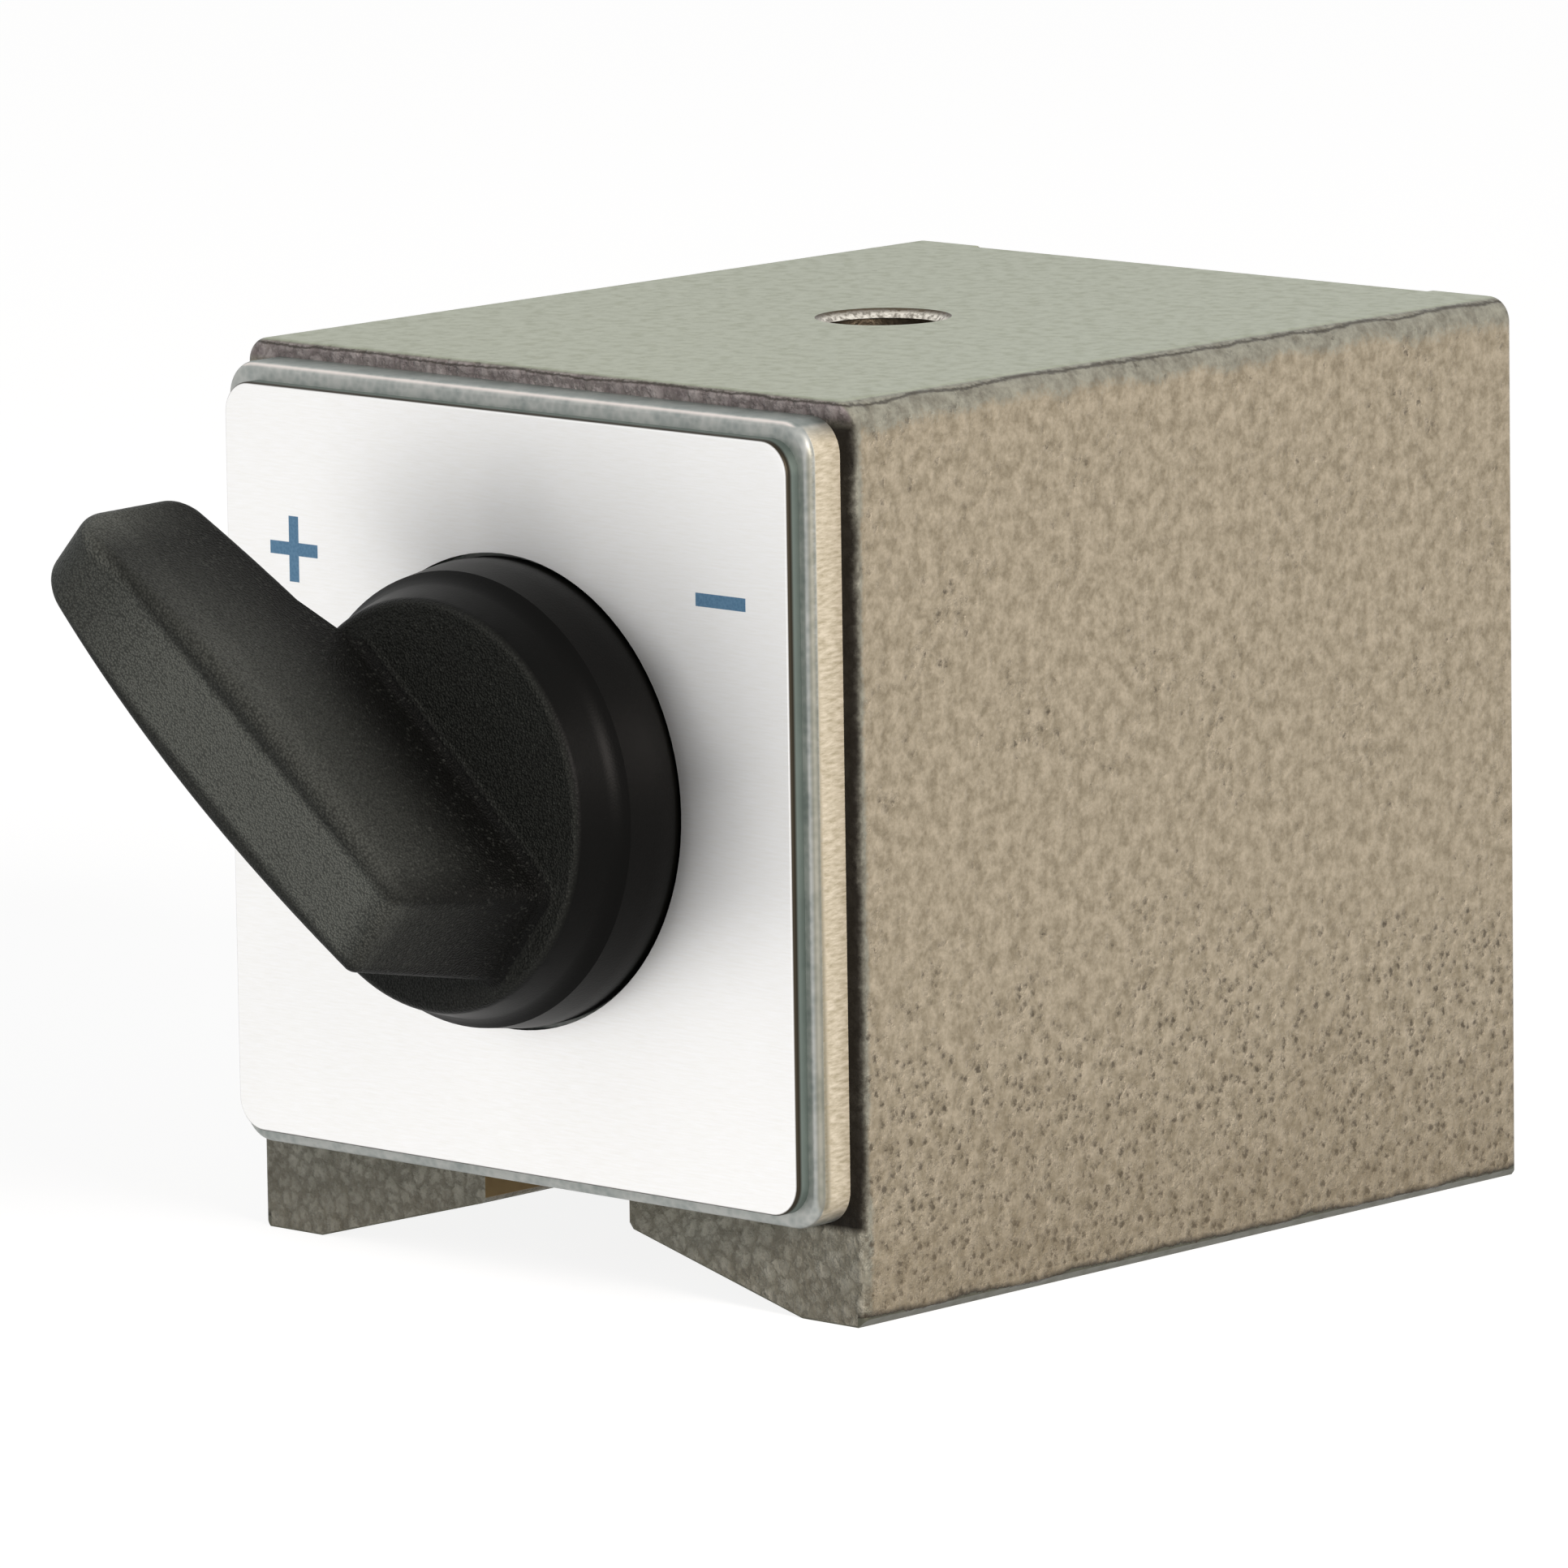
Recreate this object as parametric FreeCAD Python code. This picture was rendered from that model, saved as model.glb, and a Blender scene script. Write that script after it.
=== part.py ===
import FreeCAD, Part
import math
import os

V = FreeCAD.Vector
os.makedirs("parts", exist_ok=True)

# Switchable magnetic base, millimetres. +Z is up, the knob is at the front (-Y), +X is to the
# right seen from the front. The origin is the middle of the plane that the pole feet stand on.

# Edge breaks of turned pieces, and the tolerance for picking edges by place
PIN_BREAK = 0.2
BUSH_BREAK = 0.3
EDGE_BREAK = 0.4
NEAR = 0.01

# Pole block
BLOCK_W = 50.0
BLOCK_L = 60.0
BLOCK_H = 55.0
TOP_EDGE_R = 1.5
END_EDGE_R = 0.5
FOOT_CHAMFER = 0.5
POLE_GAP = 12.0
SLOT_ROOF_Z = 9.0
V_ANGLE = 15.0
V_RUN = 14.0
V_MOUTH_CHAMFER = 0.3

# Rotor axis and the bore it turns in
AXIS_Z = 30.0
BORE_R = 13.0
ROTOR_GAP = 0.3
ROTOR_R = BORE_R - ROTOR_GAP
TURN_DEG = 90.0

# Thread for the arm, in the upper non-magnetic spacer
THREAD_R = 3.4
THREAD_DEPTH = 10.0
THREAD_MOUTH_R = 4.2
DRILL_TIP_DEG = 118.0

# Face plate, its screws and the label over them
PLATE_HALF_W = 24.0
PLATE_Z0 = 6.0
PLATE_Z1 = 54.0
PLATE_T = 2.7
PLATE_CORNER_R = 2.2
PLATE_ARRIS = 0.5
LABEL_HALF_W = 23.2
LABEL_Z0 = 6.9
LABEL_Z1 = 52.9
LABEL_T = 1.05
LABEL_CORNER_R = 2.0
LABEL_EDGE_R = 0.2
SCREW_X = 18.0
SCREW_DZ = 18.5
SCREW_R = 2.0
SCREW_HEAD_R = 3.9
SCREW_LENGTH = 10.0
SCREW_SLOT_W = 1.0
SCREW_SLOT_DEPTH = 1.0
SCREW_SINK = 0.15
SCREW_TURN = 35.0

# Front bearing, washer and stop
FRONT_JOURNAL_R = 5.0
REAR_JOURNAL_R = 4.0
RUNNING_GAP = 0.05
BUSH_WALL = 2.95
FLANGE_R = 8.5
FLANGE_T = 1.5
WAVE_WASHER_T = 0.3
WAVE_WASHER_INSET = 0.3
WAVE_RISE = 0.3
WAVES = 3
WASHER_BORE_GAP = 0.4
END_PLAY = 0.1
STOP_PIN_R = 1.0
STOP_GAP = 0.3
STOP_DEG = 45.0
STOP_PRESS = 1.4
STOP_SLOT_DEPTH = 2.0
STOP_TIP_GAP = 0.2

# Rotor stack
CAP_T = 4.0
MAGNET_T = 10.0
MAGNET_H = 18.0
MAGNETS = 2
RIVET_X = 9.0
RIVET_R = 1.25
RIVET_HEAD_R = 2.2
SQUARE = 7.0
SQUARE_L = 6.0

# Rear bearing and the cover let into the back
THRUST_WASHER_T = 0.65
THRUST_WASHER_R = 8.0
REAR_PLAY = 0.25
REAR_DISC_T = 3.8
REAR_BUSH_R = 6.0
REAR_TIP_GAP = 0.3
COVER_W = 38.0
COVER_T = 1.0
COVER_Z0 = 12.0
COVER_Z1 = 53.6
COVER_CORNER_R = 1.5
COVER_RIVET_X = 15.5
COVER_RIVET_DZ = 17.3
COVER_RIVET_R = 1.25
COVER_RIVET_HEAD_R = 2.4
COVER_RIVET_HEAD_H = 0.8
COVER_RIVET_L = 6.0

# Knob: radii and distances in front of the label face
KNOB_BACK_GAP = 0.35
KNOB_GAP = 0.25
RING_R = 14.1
RING_BAND = 0.9
RING_FRONT_R = 13.7
RING_FRONT = 3.85
RING_NOSE = 0.25
GROOVE_R = 13.1
GROOVE_FRONT = 4.25
GROOVE_RUN = 0.5
HUB_BACK_R = 12.95
HUB_R = 12.35
HUB_FRONT = 6.85
HUB_EDGE_R = 0.6
CORE_R0 = 8.6
CORE_R1 = 11.6
CORE_FRONT = 4.5
KNOB_RIB_T = 1.6
INSERT_AF = 12.0
INSERT_L = 6.3
INSERT_SEAT = 0.3
CLIP_W = 3.0
CLIP_T = 0.6
CLIP_L = 5.0

# Wing of the knob: distance along it from the axis, half thickness, distance in front of the label
WING_DEG = 137.5
WING_LOW = 5.35
WING_HIGH = 21.85
WING_LOW_HALF = (3.95, 3.45, 2.75)
WING_HIGH_HALF = (3.05, 4.25, 1.75)
WING_MID_S = 6.5
WING_TIP_S = 23.7
WING_END_LOW_S = 10.7
WING_END_HIGH_S = 7.2
WING_END_SKEW = 0.6
RIDGE_BACK_F = 17.35
RIDGE_MID_F = 19.25
RIDGE_TIP_F = 20.75
UNDERSIDE_S = (9.0, 12.0, WING_TIP_S)
UNDERSIDE_F = (6.45, 8.05, 10.75)
TIP_TOP_R = 3.0
TIP_UNDER_R = 2.2
WING_EDGE_R = 0.9
WING_ROOT_R = 0.9

# Stations along Y and radii that follow from the sizes above
FRONT_Y = -BLOCK_L / 2
REAR_Y = BLOCK_L / 2
PLATE_Y = FRONT_Y - PLATE_T
LABEL_Y = PLATE_Y - LABEL_T
KNOB_BACK_Y = PLATE_Y - KNOB_BACK_GAP
FLANGE_Y = FRONT_Y + FLANGE_T
WAVE_Y = FLANGE_Y + END_PLAY
CAP_Y = WAVE_Y + WAVE_RISE + WAVE_WASHER_T + END_PLAY
STACK_Y = CAP_Y + CAP_T
COVER_Y = REAR_Y - COVER_T
DISC_Y = COVER_Y - REAR_DISC_T
REAR_CAP_Y = DISC_Y - THRUST_WASHER_T - REAR_PLAY
STACK_END_Y = REAR_CAP_Y - CAP_T
MAGNET_L = (STACK_END_Y - STACK_Y) / MAGNETS
INSERT_Y = KNOB_BACK_Y - INSERT_SEAT
V_RISE = V_RUN * math.tan(math.radians(V_ANGLE))
FRONT_BUSH_R = FRONT_JOURNAL_R + RUNNING_GAP + BUSH_WALL
STOP_R = (FLANGE_R + BORE_R) / 2


def box(x0, x1, y0, y1, z0, z1):
    return Part.makeBox(x1 - x0, y1 - y0, z1 - z0, V(x0, y0, z0))


def rod(r, y0, y1, x=0.0, z=AXIS_Z):
    """Cylinder along the rotor axis from y0 to y1."""
    return Part.makeCylinder(r, y1 - y0, V(x, y0, z), V(0, 1, 0))


def cone(r0, r1, y0, y1, x=0.0, z=AXIS_Z):
    return Part.makeCone(r0, r1, y1 - y0, V(x, y0, z), V(0, 1, 0))


def ring(r_in, r_out, y0, y1):
    return rod(r_out, y0, y1).cut(rod(r_in, y0, y1))


def polygon(points):
    return Part.Face(Part.makePolygon(points + [points[0]]))


def edges_where(shape, test):
    return [e for e in shape.Edges if test(e.BoundBox)]


def rounded_plate(half_w, z0, z1, y0, y1, corner_r):
    """Upright plate with its four corners rounded."""
    plate = box(-half_w, half_w, y0, y1, z0, z1)
    corners = edges_where(plate, lambda b: b.YLength > (y1 - y0) * 0.99)
    return plate.makeFillet(corner_r, corners)


def four(x, dz):
    """The four corners of a screw pattern about the rotor axis."""
    return [(sx * x, AXIS_Z + sz * dz) for sx in (-1, 1) for sz in (-1, 1)]


def countersunk(head_r, r, length, y, x, z):
    """Countersunk body whose flat head lies at y and whose shank runs towards +Y."""
    head_h = head_r - r
    shank = rod(r, y, y + length, x, z)
    return shank.fuse(cone(head_r, r, y, y + head_h, x, z)).removeSplitter()


# Pole block, first as one outline, then parted into poles and spacers

def groove():
    """Slot between the poles and the shallow V ground into their feet."""
    half = POLE_GAP / 2
    c = V_MOUTH_CHAMFER
    slope = V_RISE / V_RUN
    points = [V(-half - V_RUN, FRONT_Y, 0), V(-half - c, FRONT_Y, V_RISE - c * slope)]
    points += [V(-half, FRONT_Y, V_RISE + c), V(-half, FRONT_Y, SLOT_ROOF_Z)]
    mirrored = [V(-p.x, p.y, p.z) for p in reversed(points)]
    return polygon(points + mirrored).extrude(V(0, BLOCK_L, 0))


def thread_hole():
    hole = Part.makeCylinder(THREAD_R, THREAD_DEPTH, V(0, 0, BLOCK_H - THREAD_DEPTH))
    mouth_h = THREAD_MOUTH_R - THREAD_R
    mouth = Part.makeCone(THREAD_R, THREAD_MOUTH_R, mouth_h, V(0, 0, BLOCK_H - mouth_h))
    tip_h = THREAD_R / math.tan(math.radians(DRILL_TIP_DEG / 2)) / 2
    tip = Part.makeCone(THREAD_R / 2, THREAD_R, tip_h, V(0, 0, BLOCK_H - THREAD_DEPTH - tip_h))
    return hole.fuse([mouth, tip])


def pole_block():
    block = box(-BLOCK_W / 2, BLOCK_W / 2, FRONT_Y, REAR_Y, 0, BLOCK_H)
    long_top = edges_where(block, lambda b: b.YLength > BLOCK_L - NEAR and b.ZMin > BLOCK_H / 2)
    block = block.makeFillet(TOP_EDGE_R, long_top)
    long_foot = edges_where(block, lambda b: b.YLength > BLOCK_L - NEAR and b.ZMax < NEAR)
    block = block.makeChamfer(FOOT_CHAMFER, long_foot)
    end_rim = edges_where(block, lambda b: b.YLength < NEAR and b.ZMax > BLOCK_H / 2)
    block = block.makeFillet(END_EDGE_R, end_rim)
    block = block.cut(groove())
    block = block.cut(rod(BORE_R, FRONT_Y, REAR_Y))
    block = block.cut(thread_hole())
    above = BLOCK_H + 2 * COVER_CORNER_R
    recess = rounded_plate(COVER_W / 2, COVER_Z0, above, COVER_Y, REAR_Y, COVER_CORNER_R)
    block = block.cut(recess)
    for x, z in four(SCREW_X, SCREW_DZ):
        depth = SCREW_LENGTH - PLATE_T + SCREW_SINK
        block = block.cut(rod(SCREW_R, FRONT_Y, FRONT_Y + depth, x, z))
    for x, z in four(COVER_RIVET_X, COVER_RIVET_DZ):
        block = block.cut(rod(COVER_RIVET_R, REAR_Y - COVER_RIVET_L, REAR_Y, x, z))
    return block


def block_part(x0, x1, z0, z1):
    return pole_block().common(box(x0, x1, FRONT_Y, REAR_Y, z0, z1))


# Front: plate, label, bearing, stop

def face_plate():
    plate = rounded_plate(PLATE_HALF_W, PLATE_Z0, PLATE_Z1, PLATE_Y, FRONT_Y, PLATE_CORNER_R)
    rim = edges_where(plate, lambda b: b.YMax < PLATE_Y + NEAR)
    plate = plate.makeFillet(PLATE_ARRIS, rim)
    plate = plate.cut(rod(FRONT_BUSH_R, PLATE_Y, FRONT_Y))
    x, z = stop_place()
    plate = plate.cut(rod(STOP_PIN_R, FRONT_Y - STOP_PRESS, FRONT_Y, x, z))
    for sx, sz in four(SCREW_X, SCREW_DZ):
        sink = PLATE_Y + SCREW_SINK
        plate = plate.cut(rod(SCREW_HEAD_R, PLATE_Y, sink, sx, sz))
        plate = plate.cut(countersunk(SCREW_HEAD_R, SCREW_R, PLATE_T, sink, sx, sz))
    return plate


def stop_place():
    a = math.radians(STOP_DEG)
    return STOP_R * math.cos(a), AXIS_Z + STOP_R * math.sin(a)


def stop_pin():
    x, z = stop_place()
    tip = CAP_Y + STOP_SLOT_DEPTH - STOP_TIP_GAP
    pin = rod(STOP_PIN_R, FRONT_Y - STOP_PRESS, tip, x, z)
    return pin.makeChamfer(PIN_BREAK, edges_where(pin, lambda b: b.YMin > tip - NEAR))


def plate_screws():
    screws = []
    y = PLATE_Y + SCREW_SINK
    for x, z in four(SCREW_X, SCREW_DZ):
        screw = countersunk(SCREW_HEAD_R, SCREW_R, SCREW_LENGTH, y, x, z)
        slot = box(x - SCREW_HEAD_R, x + SCREW_HEAD_R, y, y + SCREW_SLOT_DEPTH,
                   z - SCREW_SLOT_W / 2, z + SCREW_SLOT_W / 2)
        slot.rotate(V(x, y, z), V(0, 1, 0), SCREW_TURN * (1 + len(screws)))
        screws.append(screw.cut(slot))
    return Part.makeCompound(screws)


def label_plate():
    label = rounded_plate(LABEL_HALF_W, LABEL_Z0, LABEL_Z1, LABEL_Y, PLATE_Y, LABEL_CORNER_R)
    rim = edges_where(label, lambda b: b.YMax < LABEL_Y + NEAR)
    label = label.makeFillet(LABEL_EDGE_R, rim)
    return label.cut(rod(RING_R + KNOB_GAP, LABEL_Y, PLATE_Y))


def front_bush():
    sleeve = rod(FRONT_BUSH_R, PLATE_Y, FRONT_Y).fuse(rod(FLANGE_R, FRONT_Y, FLANGE_Y))
    bush = sleeve.removeSplitter().cut(rod(FRONT_JOURNAL_R + RUNNING_GAP, PLATE_Y, FLANGE_Y))
    mouth = edges_where(bush, lambda b: b.YMax < PLATE_Y + NEAR and b.XLength < 2 * FRONT_BUSH_R - 1)
    return bush.makeChamfer(BUSH_BREAK, mouth)


def wave_rim(r):
    """Closed curve of one radius that rises and falls once for each wave."""
    steps = 12 * WAVES
    points = []
    for i in range(steps):
        a = 2 * math.pi * i / steps
        y = WAVE_Y + WAVE_RISE * (1 - math.cos(WAVES * a)) / 2
        points.append(V(r * math.cos(a), y, AXIS_Z + r * math.sin(a)))
    rim = Part.BSplineCurve()
    rim.interpolate(Points=points, PeriodicFlag=True)
    return rim.toShape()


def wave_washer():
    inner = wave_rim(FRONT_JOURNAL_R + WASHER_BORE_GAP)
    outer = wave_rim(FLANGE_R - WAVE_WASHER_INSET)
    return Part.makeRuledSurface(inner, outer).extrude(V(0, WAVE_WASHER_T, 0))


# Rotor

def stop_slot():
    """Arc slot in the front cap, one quarter turn long, that the stop pin runs in."""
    half_w = STOP_PIN_R + STOP_GAP
    y1 = CAP_Y + STOP_SLOT_DEPTH
    band = ring(STOP_R - half_w, STOP_R + half_w, CAP_Y, y1)
    ends = []
    rays = [V(0, CAP_Y, AXIS_Z)]
    steps = 4
    for i in range(steps + 1):
        a = math.radians(STOP_DEG + TURN_DEG * i / steps)
        rays.append(V(2 * STOP_R * math.cos(a), CAP_Y, AXIS_Z + 2 * STOP_R * math.sin(a)))
    band = band.common(polygon(rays).extrude(V(0, STOP_SLOT_DEPTH, 0)))
    for deg in (STOP_DEG, STOP_DEG + TURN_DEG):
        a = math.radians(deg)
        ends.append(rod(half_w, CAP_Y, y1, STOP_R * math.cos(a), AXIS_Z + STOP_R * math.sin(a)))
    return band.fuse(ends)


def tie_rivet(x):
    """Rivet through the whole rotor, countersunk and flush at both ends."""
    body = rod(RIVET_R, CAP_Y, REAR_CAP_Y, x)
    head_h = RIVET_HEAD_R - RIVET_R
    front = cone(RIVET_HEAD_R, RIVET_R, CAP_Y, CAP_Y + head_h, x)
    rear = cone(RIVET_R, RIVET_HEAD_R, REAR_CAP_Y - head_h, REAR_CAP_Y, x)
    return body.fuse([front, rear]).removeSplitter()


def drilled(shape):
    return shape.cut(tie_rivet(-RIVET_X)).cut(tie_rivet(RIVET_X))


def rotor_front_cap():
    """Disc, round journal and the square that drives it, cast in one."""
    square_y = KNOB_BACK_Y
    end_y = INSERT_Y - SQUARE_L
    s = SQUARE / 2
    square = box(-s, s, end_y, square_y, AXIS_Z - s, AXIS_Z + s)
    square = square.makeChamfer(EDGE_BREAK, edges_where(square, lambda b: b.YMax < end_y + NEAR))
    journal = rod(FRONT_JOURNAL_R, square_y, CAP_Y)
    cap = rod(ROTOR_R, CAP_Y, STACK_Y).fuse([journal, square]).removeSplitter()
    return drilled(cap).cut(stop_slot())


def rotor_rear_cap():
    tip = COVER_Y - REAR_TIP_GAP
    journal = rod(REAR_JOURNAL_R, REAR_CAP_Y, tip)
    journal = journal.makeChamfer(EDGE_BREAK, edges_where(journal, lambda b: b.YMin > tip - NEAR))
    cap = rod(ROTOR_R, STACK_END_Y, REAR_CAP_Y).fuse(journal).removeSplitter()
    return drilled(cap)


def rotor_part(x0, x1, dz0, dz1, y0=STACK_Y, y1=STACK_END_Y):
    piece = rod(ROTOR_R, y0, y1).common(box(x0, x1, y0, y1, AXIS_Z + dz0, AXIS_Z + dz1))
    return drilled(piece)


def magnet(i):
    y = STACK_Y + i * MAGNET_L
    half_t = MAGNET_T / 2
    half_h = MAGNET_H / 2
    return box(-half_t, half_t, y, y + MAGNET_L, AXIS_Z - half_h, AXIS_Z + half_h)


# Rear

def thrust_washer():
    return ring(REAR_JOURNAL_R + WASHER_BORE_GAP, THRUST_WASHER_R, DISC_Y - THRUST_WASHER_T, DISC_Y)


def rear_cover():
    cover = rounded_plate(COVER_W / 2, COVER_Z0, COVER_Z1, COVER_Y, REAR_Y, COVER_CORNER_R)
    for x, z in four(COVER_RIVET_X, COVER_RIVET_DZ):
        cover = cover.cut(rod(COVER_RIVET_R, COVER_Y, REAR_Y, x, z))
    return cover


def cover_rivets():
    """Drive rivets with low domed heads."""
    rivets = []
    dome_r = (COVER_RIVET_HEAD_R ** 2 + COVER_RIVET_HEAD_H ** 2) / (2 * COVER_RIVET_HEAD_H)
    for x, z in four(COVER_RIVET_X, COVER_RIVET_DZ):
        ball = Part.makeSphere(dome_r, V(x, REAR_Y + COVER_RIVET_HEAD_H - dome_r, z))
        top = REAR_Y + COVER_RIVET_HEAD_H
        dome = ball.common(rod(COVER_RIVET_HEAD_R + 1, REAR_Y, top + 1, x, z))
        rivets.append(dome.fuse(rod(COVER_RIVET_R, REAR_Y - COVER_RIVET_L, REAR_Y, x, z)))
    return Part.makeCompound(rivets)


# Knob, drawn with x along the wing, z towards the front from the label face

def knob_place(shape):
    a = math.radians(WING_DEG)
    m = FreeCAD.Matrix(math.cos(a), -math.sin(a), 0, 0,
                       0, 0, -1, LABEL_Y,
                       math.sin(a), math.cos(a), 0, AXIS_Z,
                       0, 0, 0, 1)
    shape.Placement = FreeCAD.Placement(m).multiply(shape.Placement)
    return shape


def wing_section(half, end_s, f):
    """Plan outline of the wing at one distance from the label, its long sides bowed."""
    root, mid, tip = half
    reach = WING_TIP_S + 1.5
    a = V(-end_s, -root, f)
    b = V(reach, -tip, f)
    c = V(reach, tip, f)
    d = V(-end_s - WING_END_SKEW, root, f)
    near = Part.Arc(a, V(WING_MID_S, -mid, f), b).toShape()
    nose = Part.LineSegment(b, c).toShape()
    far = Part.Arc(c, V(WING_MID_S, mid, f), d).toShape()
    end = Part.LineSegment(d, a).toShape()
    return Part.Wire([near, nose, far, end])


def wing_side():
    """Side outline of the wing: sloping ridge, round tip, underside rising from the hub."""
    depth = 2 * max(WING_LOW_HALF + WING_HIGH_HALF) + 4
    y = -depth / 2
    s0, s1, s2 = UNDERSIDE_S
    f0, f1, f2 = UNDERSIDE_F
    tip = WING_TIP_S
    back = -WING_END_LOW_S - WING_END_SKEW - 2
    ridge = Part.Arc(V(back, y, RIDGE_BACK_F), V(WING_MID_S, y, RIDGE_MID_F),
                     V(tip, y, RIDGE_TIP_F)).toShape()
    corners = [V(tip, y, RIDGE_TIP_F), V(s2, y, f2), V(s1, y, f1), V(s0, y, f0)]
    corners += [V(s0, y, WING_LOW), V(back, y, WING_LOW), V(back, y, RIDGE_BACK_F)]
    face = Part.Face(Part.Wire([ridge] + Part.makePolygon(corners).Edges))
    side = face.extrude(V(0, depth, 0))
    top = edges_where(side, lambda b: b.YLength > depth - 1 and b.XMin > tip - 0.01
                      and b.ZMin > RIDGE_TIP_F - 1)
    side = side.makeFillet(TIP_TOP_R, top)
    under = edges_where(side, lambda b: b.YLength > depth - 1 and b.XMin > tip - 0.01
                        and b.ZMax < f2 + 0.1)
    return side.makeFillet(TIP_UNDER_R, under)


def wing():
    low = wing_section(WING_LOW_HALF, WING_END_LOW_S, WING_LOW)
    high = wing_section(WING_HIGH_HALF, WING_END_HIGH_S, WING_HIGH)
    body = Part.makeLoft([low, high], True, True).common(wing_side())
    clear_of_hub = UNDERSIDE_F[1] + 1
    free = edges_where(body, lambda b: b.ZMax > clear_of_hub)
    return body.makeFillet(WING_EDGE_R, free)


def knob_body():
    """Turned outline of the knob about its axis: ring, groove and hub."""
    back = LABEL_Y - KNOB_BACK_Y
    pts = [(0, back), (RING_R - PIN_BREAK, back), (RING_R, back + PIN_BREAK), (RING_R, RING_BAND)]
    pts += [(RING_FRONT_R, RING_FRONT - RING_NOSE), (RING_FRONT_R - RING_NOSE, RING_FRONT)]
    pts += [(GROOVE_R, GROOVE_FRONT), (HUB_BACK_R, GROOVE_FRONT + GROOVE_RUN)]
    pts += [(HUB_R, HUB_FRONT), (0, HUB_FRONT)]
    face = polygon([V(r, 0, f) for r, f in pts])
    return face.revolve(V(0, 0, 0), V(0, 0, 1), 360)


def knob_hollows():
    """Ribbed ring core and the seat of the hexagonal insert, open at the back."""
    back = LABEL_Y - KNOB_BACK_Y
    core_h = CORE_FRONT - back
    core = Part.makeCylinder(CORE_R1, core_h, V(0, 0, back))
    core = core.cut(Part.makeCylinder(CORE_R0, core_h, V(0, 0, back)))
    for deg in (0, 90):
        rib = Part.makeBox(4 * CORE_R1, KNOB_RIB_T, core_h,
                           V(-2 * CORE_R1, -KNOB_RIB_T / 2, back))
        rib.rotate(V(0, 0, 0), V(0, 0, 1), deg)
        core = core.cut(rib)
    return core


def on_hub_face(b):
    return abs(b.ZMin - HUB_FRONT) < 2 * NEAR and b.ZLength < 2 * NEAR


def knob():
    shape = knob_body().fuse(wing()).removeSplitter()
    wide = 2 * HUB_R - 1
    root = edges_where(shape, lambda b: on_hub_face(b) and b.XMin < 0 and b.XLength < wide)
    shape = shape.makeFillet(WING_ROOT_R, root)
    rim = edges_where(shape, lambda b: on_hub_face(b) and b.XLength > wide)
    shape = shape.makeFillet(HUB_EDGE_R, rim)
    shape = knob_place(shape.cut(knob_hollows()))
    mouth = rod(FRONT_JOURNAL_R + WASHER_BORE_GAP, INSERT_Y, KNOB_BACK_Y)
    return shape.cut([mouth, hexagon(INSERT_AF, INSERT_Y - INSERT_L, INSERT_Y)])


def hexagon(af, y0, y1):
    r = af / math.sqrt(3)
    points = []
    for i in range(6):
        a = math.radians(60 * i + WING_DEG)
        points.append(V(r * math.cos(a), y0, AXIS_Z + r * math.sin(a)))
    return polygon(points).extrude(V(0, y1 - y0, 0))


def clip_seat():
    top = AXIS_Z + SQUARE / 2
    return box(-CLIP_W / 2, CLIP_W / 2, INSERT_Y - CLIP_L, INSERT_Y, top, top + CLIP_T)


def knob_insert():
    s = SQUARE / 2
    body = hexagon(INSERT_AF, INSERT_Y - INSERT_L, INSERT_Y)
    hole = box(-s, s, INSERT_Y - SQUARE_L, INSERT_Y, AXIS_Z - s, AXIS_Z + s)
    return body.cut(hole).cut(clip_seat())


half_gap = POLE_GAP / 2
half_w = BLOCK_W / 2
half_t = MAGNET_T / 2
half_h = MAGNET_H / 2
nodes = {
    "left_pole": block_part(-half_w, -half_gap, 0, BLOCK_H),
    "right_pole": block_part(half_gap, half_w, 0, BLOCK_H),
    "top_spacer": block_part(-half_gap, half_gap, AXIS_Z, BLOCK_H),
    "bottom_spacer": block_part(-half_gap, half_gap, 0, AXIS_Z),
    "face_plate": face_plate(),
    "face_plate_screws": plate_screws(),
    "label_plate": label_plate(),
    "front_bush": front_bush(),
    "wave_washer": wave_washer(),
    "stop_pin": stop_pin(),
    "rear_disc": ring(REAR_BUSH_R, BORE_R, DISC_Y, COVER_Y),
    "rear_bush": ring(REAR_JOURNAL_R + RUNNING_GAP, REAR_BUSH_R, DISC_Y, COVER_Y),
    "thrust_washer": thrust_washer(),
    "rear_cover": rear_cover(),
    "rear_cover_rivets": cover_rivets(),
    "rotor_front_cap": rotor_front_cap(),
    "rotor_rear_cap": rotor_rear_cap(),
    "rotor_shoe_left": rotor_part(-BORE_R, -half_t, -BORE_R, BORE_R),
    "rotor_shoe_right": rotor_part(half_t, BORE_R, -BORE_R, BORE_R),
    "rotor_strip_upper": rotor_part(-half_t, half_t, half_h, BORE_R),
    "rotor_strip_lower": rotor_part(-half_t, half_t, -BORE_R, -half_h),
    "magnet_front": magnet(0),
    "magnet_rear": magnet(1),
    "rotor_tie_rivets": Part.makeCompound([tie_rivet(-RIVET_X), tie_rivet(RIVET_X)]),
    "knob": knob(),
    "knob_insert": knob_insert(),
    "knob_clip": clip_seat(),
}
for name, shape in nodes.items():
    shape.exportStep("parts/" + name + ".step")
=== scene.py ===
import bmesh
import bpy
import math
from mathutils import Matrix, Vector


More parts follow.
